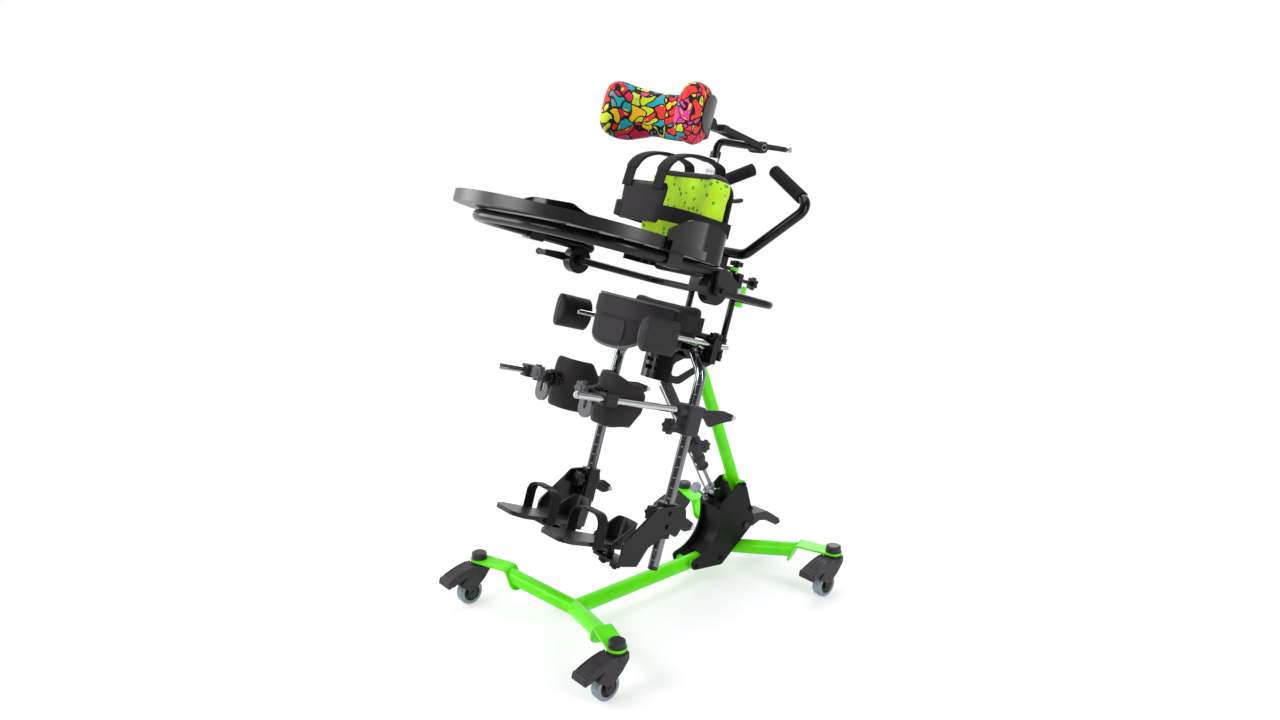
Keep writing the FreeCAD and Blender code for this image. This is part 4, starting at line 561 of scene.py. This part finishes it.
# Blows a closed piece up like a stuffed cover: an even mesh, then cloth under inner pressure
# with every point's travel held to a cap, then one level of subdivision.
def inflate(piece, voxelMm, pressure, capMm, frames=20):
    bpy.context.view_layer.objects.active = piece
    even = piece.modifiers.new("evenMesh", "REMESH")
    even.mode = "VOXEL"
    even.voxel_size = voxelMm / 1000
    bpy.ops.object.modifier_apply(modifier=even.name)
    start = np.empty(len(piece.data.vertices) * 3, np.float32)
    piece.data.vertices.foreach_get("co", start)
    cover = piece.modifiers.new("cover", "CLOTH")
    cover.settings.use_pressure = True
    cover.settings.uniform_pressure_force = pressure
    cover.settings.effector_weights.gravity = 0
    for step in range(1, frames + 1):
        bpy.context.scene.frame_set(step)
    blown = piece.evaluated_get(bpy.context.evaluated_depsgraph_get()).data
    end = np.empty(len(start), np.float32)
    blown.vertices.foreach_get("co", end)
    travel = (end - start).reshape(-1, 3)
    far = np.linalg.norm(travel, axis=1, keepdims=True)
    travel *= np.minimum(1, capMm / 1000 / np.maximum(far, 1e-9))
    piece.modifiers.remove(cover)
    piece.data.vertices.foreach_set("co", (start + travel.ravel()).astype(np.float32))
    bpy.context.scene.frame_set(1)
    finer = piece.modifiers.new("finer", "SUBSURF")
    finer.levels = finer.render_levels = 1
    bpy.ops.object.modifier_apply(modifier=finer.name)
    piece.data.polygons.foreach_set("use_smooth", [True] * len(piece.data.polygons))
    piece.data.update()


# Cuts the corners of a route, each time at a quarter and three quarters of its runs.
def softRoute(corners, rounds=3):
    route = np.asarray(corners, float)
    for _ in range(rounds):
        near = route[:-1] * 0.75 + route[1:] * 0.25
        far = route[:-1] * 0.25 + route[1:] * 0.75
        route = np.concatenate([route[:1], np.stack([near, far], 1).reshape(-1, route.shape[1]),
                                route[-1:]])
    return route


# A smooth step: 0 below the first value, 1 above the second, 3t^2 - 2t^3 between.
def easeStep(value, low, high):
    t = np.clip((value - low) / (high - low), 0, 1)
    return t * t * (3 - 2 * t)


# How full a padded end is: the height of a quarter circle of the radius, by distance from the end.
def roundedEnd(distance, radius):
    t = np.clip(distance / radius, 0, 1)
    return np.sqrt(np.clip(1 - (1 - t) ** 2, 0.0004, 1))


# Sews a channel: points within reach of the path sink along their normals by
# depth * (1 - distance / reach) squared.
def sewChannel(piece, path, reachMm, depthMm):
    mesh = piece.data
    points = np.empty(len(mesh.vertices) * 3, np.float32)
    normals = np.empty_like(points)
    mesh.vertices.foreach_get("co", points)
    mesh.vertices.foreach_get("normal", normals)
    points, normals = points.reshape(-1, 3), normals.reshape(-1, 3)
    line = seated(path).astype(np.float32)
    gap = np.full(len(points), 1e9, np.float32)
    for start in range(0, len(line), 40):
        block = np.linalg.norm(points[:, None] - line[None, start:start + 40], axis=2).min(axis=1)
        gap = np.minimum(gap, block)
    sink = np.clip(1 - gap / (reachMm / 1000), 0, 1) ** 2 * depthMm / 1000
    mesh.vertices.foreach_set("co", (points - normals * sink[:, None]).ravel())
    mesh.update()


# head pad: a half-ring pillow in a printed cover, deeper at the lobes beside the head
headPad = {"radius": 125, "openEnd": -371, "centre": -356, "thick": 20.5, "lobeThick": 22,
           "top": 578, "lobeLow": 443, "rearLow": 465, "lobeFrom": 150, "lobeFull": 60,
           "endRound": 16, "tipRound": 46, "rows": 110, "pressure": 4.0, "cap": 5}
plan = horseshoe(headPad["radius"], headPad["openEnd"], headPad["centre"] + headPad["radius"],
                 headPad["radius"], headPad["rows"])
toEnd = fromEnds(plan)
lobe = 1 - easeStep(toEnd, headPad["lobeFull"], headPad["lobeFrom"])
full = roundedEnd(toEnd, headPad["endRound"])
tall = np.minimum(1, 0.45 + 0.55 * roundedEnd(toEnd, headPad["tipRound"]))
low = headPad["rearLow"] + (headPad["lobeLow"] - headPad["rearLow"]) * lobe
middle = (headPad["top"] + low) / 2
grid = sweptStrip(lifted(plan, 0), [0, 0, 1], (headPad["top"] - low) / 2 * tall,
                  (headPad["thick"] + (headPad["lobeThick"] - headPad["thick"]) * lobe) * full,
                  44, 2.6)
grid[:, :, 2] += middle[:, None]
pad = gridPiece("headCushion", grid, finish["printFabric"], "headrest")
inflate(pad, 5, headPad["pressure"], headPad["cap"])
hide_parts("headrest_pad")

# back pad: a moulded cushion with side bolsters, narrower at its foot
backPad = {"bottom": 214, "top": 418, "half": 116, "foot": 84, "rear": -134, "front": -171,
           "wing": 30, "wingFrom": 62, "wingFull": 98, "narrowTo": 212, "wideFrom": 268,
           "shoulder": 45, "seamAcross": 74, "seamBack": -176, "seamLow": 235, "seamTop": 385,
           "rows": 60, "pressure": 4.0, "cap": 4}
up = np.linspace(backPad["bottom"], backPad["top"], backPad["rows"])
full = roundedEnd(up - backPad["bottom"], 14) * roundedEnd(backPad["top"] - up, 20)
widen = easeStep(up, backPad["narrowTo"], backPad["wideFrom"])
half = (backPad["half"] - (backPad["half"] - backPad["foot"]) * (1 - widen)
        - backPad["shoulder"] * (1 - roundedEnd(backPad["top"] - up, 50)))
wide, thick = stripSection(64, 5)
across = half[:, None] * wide[None]
wing = easeStep(np.abs(across), backPad["wingFrom"], backPad["wingFull"])
middle = (backPad["rear"] + backPad["front"]) / 2
deep = np.where(thick > 0, backPad["rear"] - middle,
                middle - backPad["front"] + wing * backPad["wing"])
back = middle + deep * thick[None] * full[:, None]
grid = np.stack([across, back, np.broadcast_to(up[:, None], across.shape)], -1)
pad = gridPiece("backCushion", grid, finish["limeFabric"], "upper")
inflate(pad, 5, backPad["pressure"], backPad["cap"])
for sign in (-1, 1):
    edge = np.linspace(backPad["seamLow"], backPad["seamTop"], 60)
    seam = lifted(np.full((60, 2), [sign * backPad["seamAcross"], backPad["seamBack"]]), edge)
    sewChannel(pad, seam, 7, 3.0)
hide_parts("back_pad")

# hip pad: a flat cushion behind the pelvis
hipPad = {"half": 115, "bottom": 24, "top": 103, "rear": -124, "front": -156, "pressure": 4.0,
          "cap": 4}
side = np.linspace(-hipPad["half"], hipPad["half"], 60)
full = roundedEnd(hipPad["half"] - np.abs(side), 22)
wide, thick = stripSection(36, 4)
middle = (hipPad["bottom"] + hipPad["top"]) / 2
up = middle + (hipPad["top"] - middle) * wide[None] * (0.7 + 0.3 * full[:, None])
deep = (hipPad["rear"] - hipPad["front"]) / 2
back = (hipPad["rear"] + hipPad["front"]) / 2 + deep * thick[None] * full[:, None]
grid = np.stack([np.broadcast_to(side[:, None], up.shape), back, up], -1)
pad = gridPiece("hipCushion", grid, finish["charcoalFabric"], "support")
inflate(pad, 5, hipPad["pressure"], hipPad["cap"])
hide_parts("hip_pad")
print("cushions blown up")

# pelvic belt: a padded horseshoe with rounded ends and a lower lobe, edged with a round cord,
# a woven band round its top, a flat panel on the lobe, and webbing from its ends to the frame
belt = {"half": 121, "openEnd": -206, "closedEnd": -294, "corner": 86, "rows": 150, "top": 85,
        "side": 33, "lobe": -31, "lobeHalf": 104, "lobeBack": -215, "thick": 4.2, "endRound": 26,
        "piping": 3.6, "bandUp": 61.5, "bandHalf": 19.5, "bandThick": 1.4, "bandEnd": -214,
        "panelFrom": -50, "panelTo": 46, "panelUp": 8.0, "panelHalf": 25.5, "webHalf": 20,
        "webEnd": -124}


# The belt's lower edge: from the side height down to the lobe's by (1 - (x / half)^2.6)^0.55.
def beltLow(plan):
    drop = np.clip(1 - (np.abs(plan[:, 0]) / belt["lobeHalf"]) ** 2.6, 0, 1) ** 0.55
    drop = drop * (plan[:, 1] < belt["lobeBack"])
    return belt["side"] + (belt["lobe"] - belt["side"]) * drop


plan = horseshoe(belt["half"], belt["openEnd"], belt["closedEnd"], belt["corner"], belt["rows"])
full = roundedEnd(fromEnds(plan), belt["endRound"])
low = beltLow(plan)
grid = sweptStrip(lifted(plan, 0), [0, 0, 1], (belt["top"] - low) / 2 * full, belt["thick"], 40, 4)
grid[:, :, 2] += (belt["top"] + low)[:, None] / 2
padded = gridPiece("pelvicBelt", grid, finish["charcoalFabric"], "support")
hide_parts("pelvic_belt")
middle = (belt["top"] + low) / 2
for name, halves in (("Low", (middle - low) * full), ("Top", (low - middle) * full)):
    piping = roundPiece("beltPiping" + name, lifted(plan, middle - halves), belt["piping"],
                        finish["piping"], "support")
plan = horseshoe(belt["half"] + belt["thick"] + belt["bandThick"], belt["bandEnd"],
                 belt["closedEnd"] - belt["thick"] - belt["bandThick"], belt["corner"] + 6, 100)
band = gridPiece("beltBand", sweptStrip(lifted(plan, belt["bandUp"]), [0, 0, 1], belt["bandHalf"],
                                        belt["bandThick"], 24, 8), finish["ribbedBand"], "support")
front = np.linspace(belt["panelFrom"], belt["panelTo"], 40)
full = roundedEnd(np.minimum(front - belt["panelFrom"], belt["panelTo"] - front), 12)
plan = np.stack([front, np.full(40, belt["closedEnd"] - belt["thick"] - 0.6)], -1)
tall = belt["panelHalf"] * (0.55 + 0.45 * full)
path = lifted(plan, belt["panelUp"])
panel = gridPiece("beltPanel", sweptStrip(path, [0, 0, 1], tall, 1.8, 28, 6),
                  finish["ribbedBand"], "support")
for side, sign in sides:
    run = evenly(softRoute([(belt["half"] + 6, -232), (belt["half"] + 6, -196),
                            (belt["half"] + 1, -170), (belt["half"] - 6, belt["webEnd"])]), 50)
    path = lifted(run * [sign, 1], belt["bandUp"])
    web = gridPiece("beltWebbing_" + side, sweptStrip(path, [0, 0, 1], belt["webHalf"], 1.2, 24,
                                                      8), finish["webbing"], "support")

# hip guides: a block of foam in vinyl on a chromed bar, flat outside and bulging inwards,
# its front end a crowned panel of heather cloth with a seam down its middle
guide = {"across": 160, "middle": 20.5, "tall": 39, "inner": 21, "outer": 9, "front": -346,
         "rear": -246, "lean": 3, "blockFrom": 7, "faceDeep": 9, "faceShrink": -1.6,
         "seamHalf": 30, "seamRadius": 0.9, "barAcross": 133, "barUp": 26, "barFront": -300,
         "barRear": -45, "barRadius": 6}


# The D outline of a guide: up by the cosine of an angle, inwards by the sine to the power 1.25,
# outwards by the sine to the power 0.32, which keeps that side flat with rounded corners.
def guideRing(count, tall, inner, outer):
    angle = np.linspace(0, 2 * math.pi, count, endpoint=False)
    rise = np.abs(np.sin(angle))
    bulge = np.where(np.sin(angle) > 0, outer * rise ** 0.32, -inner * rise ** 1.25)
    return bulge, np.cos(angle) * tall


# A run of guide rings from front to rear: each is scaled by the fill at that place.
def guideGrid(front, rear, grow, fill, rows):
    across, up = guideRing(72, guide["tall"] + grow, guide["inner"] + grow, guide["outer"] + grow)
    run = np.linspace(front, rear, rows)
    full = fill(run)
    lean = (run - guide["rear"]) / (guide["front"] - guide["rear"]) * guide["lean"]
    return np.stack([guide["across"] - lean[:, None] + across[None] * full[:, None],
                     np.broadcast_to(run[:, None], (rows, 72)),
                     guide["middle"] + up[None] * full[:, None]], -1)


blockGrid = guideGrid(
    guide["front"] + guide["blockFrom"], guide["rear"], 0, lambda run: 0.9 + 0.1 * roundedEnd(
        np.minimum(run - guide["front"] - guide["blockFrom"], guide["rear"] - run), 5), 60)
faceGrid = guideGrid(
    guide["front"], guide["front"] + guide["faceDeep"], guide["faceShrink"],
    lambda run: 0.25 + 0.75 * roundedEnd(run - guide["front"], 8), 24)
blockGrid[0] += (blockGrid[0].mean(axis=0) - blockGrid[0]) * 0.1
for side, sign in sides:
    body = "hip_guide_" + side
    for name, grid, cover in (("guidePad_", blockGrid, "vinyl"),
                              ("guideFace_", faceGrid, "heather")):
        piece = gridPiece(name + side, onSide(grid, sign), finish[cover], body)
        if cover == "vinyl":
            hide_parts("hip_guide_" + side)
    seam = guide["middle"] + np.linspace(-guide["seamHalf"], guide["seamHalf"], 30)
    rib = roundPiece("guideSeam_" + side, np.stack(
        [sign * (guide["across"] - guide["lean"] - 8 + 0 * seam),
         guide["front"] - 0.4 + 2.6 * np.abs(np.linspace(-1, 1, 30)) ** 3, seam], -1),
        guide["seamRadius"], finish["piping"], body, 8)
    run = np.linspace(guide["barFront"], guide["barRear"], 40)
    bar = roundPiece("guideBar_" + side, np.stack(
        [sign * guide["barAcross"] + 0 * run, run, guide["barUp"] + 0 * run], -1),
        guide["barRadius"], finish["chrome"], body, 20)
print("belt and hip guides made")

# knee pads: a moulded neoprene cup round the front of the knee, taller at its front than at its
# sides; its outer corners turn on an arc (centre across, centre up, radius) above and below
knee = {"half": 44.5, "openEnd": -262, "frontFrom": -300, "closedEnd": -339, "corner": 34,
        "thick": 8.4, "sideTop": -115, "rise": 32, "topArc": (17, -119, 36), "sideLow": -162,
        "drop": 40, "lowArc": (27, -176, 26), "endRound": 12, "bossUp": -136}


# How far an arc of the radius reaches from its centre's height, level up to its centre.
def arcReach(across, centre, radius):
    return np.sqrt(radius ** 2 - np.clip(across - centre, 0, radius - 1) ** 2)


plan = horseshoe(knee["half"], knee["openEnd"], knee["closedEnd"], knee["corner"], 90)
forward = easeStep(-plan[:, 1], -knee["openEnd"], -knee["frontFrom"])
centre, height, radius = knee["topArc"]
top = np.minimum(knee["sideTop"] + knee["rise"] * forward,
                 height + arcReach(plan[:, 0], centre, radius))
centre, height, radius = knee["lowArc"]
low = np.maximum(knee["sideLow"] - knee["drop"] * forward,
                 height - arcReach(plan[:, 0], centre, radius))
full = roundedEnd(fromEnds(plan), knee["endRound"])
grid = sweptStrip(lifted(plan + [kneeAcross, 0], 0), [0, 0, 1],
                  (top - low) / 2 * (0.75 + 0.25 * full), knee["thick"] * full, 40, 3.4)
grid[:, :, 2] += ((top + low) / 2)[:, None]

# the boss on the cup's front: back and radius of each ring; a hair's length keeps two apart
rings = np.array([[-360.5, 11], [-360.5, 13.5], [-359, 15], [-355, 15], [-354, 13.5],
                  [-352, 13.5], [-351, 15], [-346.5, 15], [-346, 14]])
path = np.stack([np.full(9, kneeAcross), rings[:, 0] + np.linspace(0, 0.01, 9)], -1)
bossGrid = sweptStrip(lifted(path, knee["bossUp"]), [0, 0, 1], rings[:, 1], rings[:, 1], 40, 2)
for side, sign in sides:
    body = "knee_pad_" + side
    cup = gridPiece("kneeCup_" + side, onSide(grid, sign), finish["neoprene"], body)
    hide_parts(body)
    boss = gridPiece("kneeBoss_" + side, onSide(bossGrid, sign), finish["glossAbs"], body)

# foot straps: a webbing arch over the instep with a hook-and-loop end lying back on it
footStrap = {"across": 87.5, "half": 50, "foot": -476, "top": -399.4, "corner": 25,
             "place": -304, "width": 14, "thick": 1.3, "flapLift": 2.7, "flapEnd": -462,
             "flapRows": 46}
arch = horseshoe(footStrap["half"], footStrap["foot"], footStrap["top"], footStrap["corner"], 80)
arch = np.stack([footStrap["across"] + arch[:, 0], np.full(80, footStrap["place"]), arch[:, 1]],
                -1)
archGrid = sweptStrip(arch, [0, 1, 0], footStrap["width"], footStrap["thick"], 20, 8)
over = horseshoe(footStrap["half"] + footStrap["flapLift"], footStrap["flapEnd"],
                 footStrap["top"] + footStrap["flapLift"], 27, 80)[:footStrap["flapRows"]]
over = np.stack([footStrap["across"] + over[:, 0],
                 np.full(footStrap["flapRows"], footStrap["place"] + 1), over[:, 1]], -1)
overGrid = sweptStrip(over, [0, 1, 0], footStrap["width"] - 1, 1.2, 20, 8)
for side, sign in sides:
    body = "footplate_" + side
    strap = gridPiece("instepStrap_" + side, onSide(archGrid, sign), finish["webbing"], body)
    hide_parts("foot_strap_" + side)
    flap = gridPiece("instepFlap_" + side, onSide(overGrid, sign), finish["webbing"], body)
print("knee pads and foot straps made")

# chest harness: a padded panel on the breastbone, two padded shoulder straps and a belt
harness = {"panelBack": -304.5, "panelLow": 264, "panelTop": 358, "panelHalf": 66, "flare": 8,
           "shoulderAcross": 53.0, "strapHalf": 17, "strapThick": 1.4, "beltUp": 289,
           "beltHalf": 127, "beltRear": -124.3, "beltFront": -304, "beltCorner": 70,
           "beltEnd": 96}
up = np.linspace(harness["panelLow"], harness["panelTop"], 44)
rise = (up - up[0]) / (up[-1] - up[0])
fill = 1 - 0.16 * (1 - roundedEnd(up - up[0], 14)) - 0.22 * (1 - roundedEnd(up[-1] - up, 18))
half = (harness["panelHalf"] + harness["flare"] * rise) * fill
wide, thick = stripSection(48, 5)
full = roundedEnd(np.minimum(up - up[0], up[-1] - up), 6)
across = half[:, None] * wide[None]
outward = (across / (harness["panelHalf"] + harness["flare"])) ** 2
grid = np.stack([across, harness["panelBack"] + outward * 6 + 5.0 * thick[None] * full[:, None],
                 np.broadcast_to(up[:, None], across.shape)
                 - (1 - outward) * harness["flare"] * rise[:, None]], -1)
panel = gridPiece("chestPanel", grid, finish["charcoalFabric"], "upper")
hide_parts("chest_harness")
rim = np.concatenate([grid[1:-1, 0], grid[-2:0:-1, 24], grid[1:2, 0]])
rim = evenly(np.concatenate([rim, rim[1:2]]), 160)
binding = roundPiece("chestBinding", rim, 2.2, finish["webbing"], "upper")
shoulderRoute = softRoute([(-311, 340), (-306, 404), (-240, 440), (-138, 441), (-124, 420),
                           (-124, 368)])
for side, sign in sides:
    run = evenly(shoulderRoute, 110)
    path = np.stack([sign * np.full(110, harness["shoulderAcross"]), run[:, 0], run[:, 1]], -1)
    strap = gridPiece("shoulderStrap_" + side, sweptStrip(
        path, [1, 0, 0], harness["strapHalf"], harness["strapThick"], 24, 8),
        finish["webbing"], "upper")
    sleeve = path[14:74]
    full = roundedEnd(np.minimum(np.arange(60), 59 - np.arange(60)) * 3.0, 10)
    sleeve = gridPiece("shoulderPad_" + side, sweptStrip(
        sleeve, [1, 0, 0], 20 * (0.7 + 0.3 * full), 4.2 * full, 32, 3), finish["sleeve"], "upper")
plan = horseshoe(harness["beltHalf"], harness["beltRear"], harness["beltFront"],
                 harness["beltCorner"], 130)
plan = np.concatenate([[[harness["beltEnd"], harness["beltRear"]]], plan,
                       [[-harness["beltEnd"], harness["beltRear"]]]])
path = lifted(evenly(softRoute(plan, 1), 150), harness["beltUp"])
strap = gridPiece("chestBelt", sweptStrip(
    path, [0, 0, 1], harness["strapHalf"], harness["strapThick"], 24, 8), finish["webbing"], "upper")
print("harness made")

# castor pedals: a thick grooved bar across the tip, and raised edges and treads on the plate
pedal = {"barBack": -99.8, "barUp": 75.5, "barHalf": 25, "barDeep": 5.4, "barTall": 9.5,
         "groovePitch": 6.2, "edgeAt": 20, "edgeRadius": 1.3, "treads": 6, "treadFrom": -52,
         "treadPitch": 6, "treadHalf": 13, "treadRadius": 0.9,
         "plateTop": [(-30, 103.4), (-60, 98.6), (-91, 87.6)]}
stems = {"front": (-327.1, 274.5), "rear": (390.9, 281.0)}  # back and across, in mm


# Turns floor points in mm into metres.
def onFloor(points):
    return np.asarray(points, float) / 1000


for end, (stemBack, stemAcross) in stems.items():
    for side, sign in sides:
        corner = end + "_" + side
        stem = np.array([sign * stemAcross, stemBack, 0])
        run = np.linspace(-pedal["barHalf"], pedal["barHalf"], 73)
        full = roundedEnd(pedal["barHalf"] - np.abs(run), 3.5)
        full = full * (1 - 0.07 * (np.sin(run * 2 * math.pi / pedal["groovePitch"]) > 0.2))
        bar = np.stack([run, 0 * run + pedal["barBack"], 0 * run + pedal["barUp"]], -1)
        grids = [sweptStrip(bar, [0, 0.28, 0.96], pedal["barTall"] * full, pedal["barDeep"] * full,
                            28, 3.2)]
        top = softRoute(pedal["plateTop"], 2)
        for edge in (-1, 1):
            rail = np.stack([edge * pedal["edgeAt"] + 0 * top[:, 0], top[:, 0], top[:, 1]], -1)
            grids.append(roundGrid(rail, pedal["edgeRadius"], 8))
        for step in range(pedal["treads"]):
            along = pedal["treadFrom"] - pedal["treadPitch"] * step
            rise = np.interp(-along, -top[:, 0], top[:, 1]) + 0.1
            width = np.linspace(-pedal["treadHalf"], pedal["treadHalf"], 12)
            grids.append(roundGrid(np.stack([width, 0 * width + along, 0 * width + rise], -1),
                                   pedal["treadRadius"], 8))
        grips = gridPiece("pedalGrip_" + corner, [grid + stem for grid in grids],
                          finish["nylon"], "brake_" + corner, place=onFloor)
print("castor pedals detailed")

# studio: how far the floor stays shaded, and what the surfaces see round them
studio = {"floorRadius": 12.0, "whiteFrom": 0.9, "whiteTo": 2.6, "floorColour": "#FBFBFC",
          "floorGlow": 0.45, "domeStrength": 0.42, "backdrop": (-0.72, 0.62, -0.30),
          "darkSide": 0.14}

# world: white to the camera; mirrors and glass see a white backdrop that falls off to a dark
# studio on the lamps' side; a soft dome lights everything else
world = bpy.data.worlds.new("studioWorld")
bpy.context.scene.world = world
world.use_nodes = True
tree = world.node_tree
tree.nodes.clear()
ray = addNode(tree, "LightPath")
heading = addNode(tree, "TexCoord").outputs["Generated"]
facing = addNode(tree, "VectorMath", {0: heading, 1: studio["backdrop"]}, operation="DOT_PRODUCT")
drop = addNode(tree, "MapRange", {"Value": facing.outputs["Value"], "From Min": -0.35,
                                  "From Max": 0.55, "To Min": studio["darkSide"], "To Max": 1.0},
               interpolation_type="SMOOTHSTEP")
shiny = addNode(tree, "Math", {0: ray.outputs["Is Glossy Ray"],
                               1: ray.outputs["Is Transmission Ray"]}, operation="MAXIMUM")
level = addNode(tree, "MapRange", {"Value": shiny, "To Min": studio["domeStrength"],
                                   "To Max": drop})
level = addNode(tree, "MapRange", {"Value": ray.outputs["Is Camera Ray"], "To Min": level,
                                   "To Max": 1.0})
sky = addNode(tree, "Background", {"Color": hexColour("#FFFFFF"), "Strength": level})
addNode(tree, "OutputWorld", {"Surface": sky})

# floor: a disc that keeps the shadow near the object and turns to plain white away from it
count = 96
turn = np.linspace(0, 2 * math.pi, count, endpoint=False)
rim = np.stack([np.cos(turn), np.sin(turn), np.zeros(count)], axis=-1) * studio["floorRadius"]
floorMesh = bpy.data.meshes.new("floor")
floorMesh.from_pydata(rim.tolist(), [], [list(range(count))])
floor = bpy.data.objects.new("floor", floorMesh)
bpy.context.collection.objects.link(floor)
material, tree, shader = newMaterial("matteFloorSheet", studio["floorColour"], Roughness=0.9)
radius = addNode(tree, "VectorMath", {0: addNode(tree, "TexCoord").outputs["Object"]},
                 operation="LENGTH")
away = addNode(tree, "MapRange", {"Value": radius.outputs["Value"],
                                  "From Min": studio["whiteFrom"], "From Max": studio["whiteTo"],
                                  "To Min": studio["floorGlow"], "To Max": 1.0},
               interpolation_type="SMOOTHSTEP")
ray = addNode(tree, "LightPath")
seen = addNode(tree, "Math", {0: ray.outputs["Is Camera Ray"], 1: ray.outputs["Is Glossy Ray"]},
               operation="MAXIMUM")
white = addNode(tree, "Math", {0: seen, 1: away}, operation="MULTIPLY")
glow = addNode(tree, "Emission", {"Color": hexColour("#FFFFFF"), "Strength": 1.0})
mixed = addNode(tree, "MixShader", {0: white, 1: shader, 2: glow})
output = [n for n in tree.nodes if n.bl_idname == "ShaderNodeOutputMaterial"][0]
tree.links.new(mixed.outputs[0], output.inputs["Surface"])
floorMesh.materials.append(material)

# soft boxes: place, where it points, width and height in metres, and power in watts
softBoxes = {
    "keyBox": {"place": (-0.6, -3.0, 2.4), "aim": (0, 0, 0.6), "size": (1.8, 2.0), "power": 80},
    "sideBox": {"place": (3.0, 0.3, 1.9), "aim": (0, 0, 0.6), "size": (0.7, 2.4), "power": 50},
    "leftBox": {"place": (-2.7, -1.7, 1.5), "aim": (0, 0, 0.7), "size": (1.4, 1.8), "power": 42},
    "rearBox": {"place": (-1.7, 3.0, 2.0), "aim": (0, 0, 0.7), "size": (1.6, 1.8), "power": 36},
    "topBox": {"place": (-0.6, 0.6, 3.6), "aim": (0, 0, 0.5), "size": (2.4, 2.4), "power": 55},
}
for name, box in softBoxes.items():
    lamp = bpy.data.lights.new(name, "AREA")
    lamp.shape = "RECTANGLE"
    lamp.size, lamp.size_y = box["size"]
    lamp.energy = box["power"]
    holder = bpy.data.objects.new(name, lamp)
    holder.location = box["place"]
    aim = np.array(box["aim"]) - np.array(box["place"])
    flat = math.hypot(aim[0], aim[1])
    holder.rotation_euler = (math.atan2(flat, -aim[2]), 0, math.atan2(-aim[0], aim[1]))
    bpy.context.collection.objects.link(holder)

# camera: place in metres, yaw and tilt down in degrees, roll in radians, lens in mm
view = {"place": (1.770, -1.5565, 1.2828), "yaw": 49.3, "down": 15.4, "roll": -0.0052,
        "lens": 28.57}
eye = bpy.data.cameras.new("viewCamera")
eye.lens = view["lens"]
eye.sensor_width = 36.0
camera = bpy.data.objects.new("viewCamera", eye)
camera.location = view["place"]
camera.rotation_euler = (math.radians(90 - view["down"]), view["roll"], math.radians(view["yaw"]))
bpy.context.collection.objects.link(camera)
bpy.context.scene.camera = camera
bpy.context.scene.view_settings.view_transform = "Standard"
print("stage, lights and camera placed")
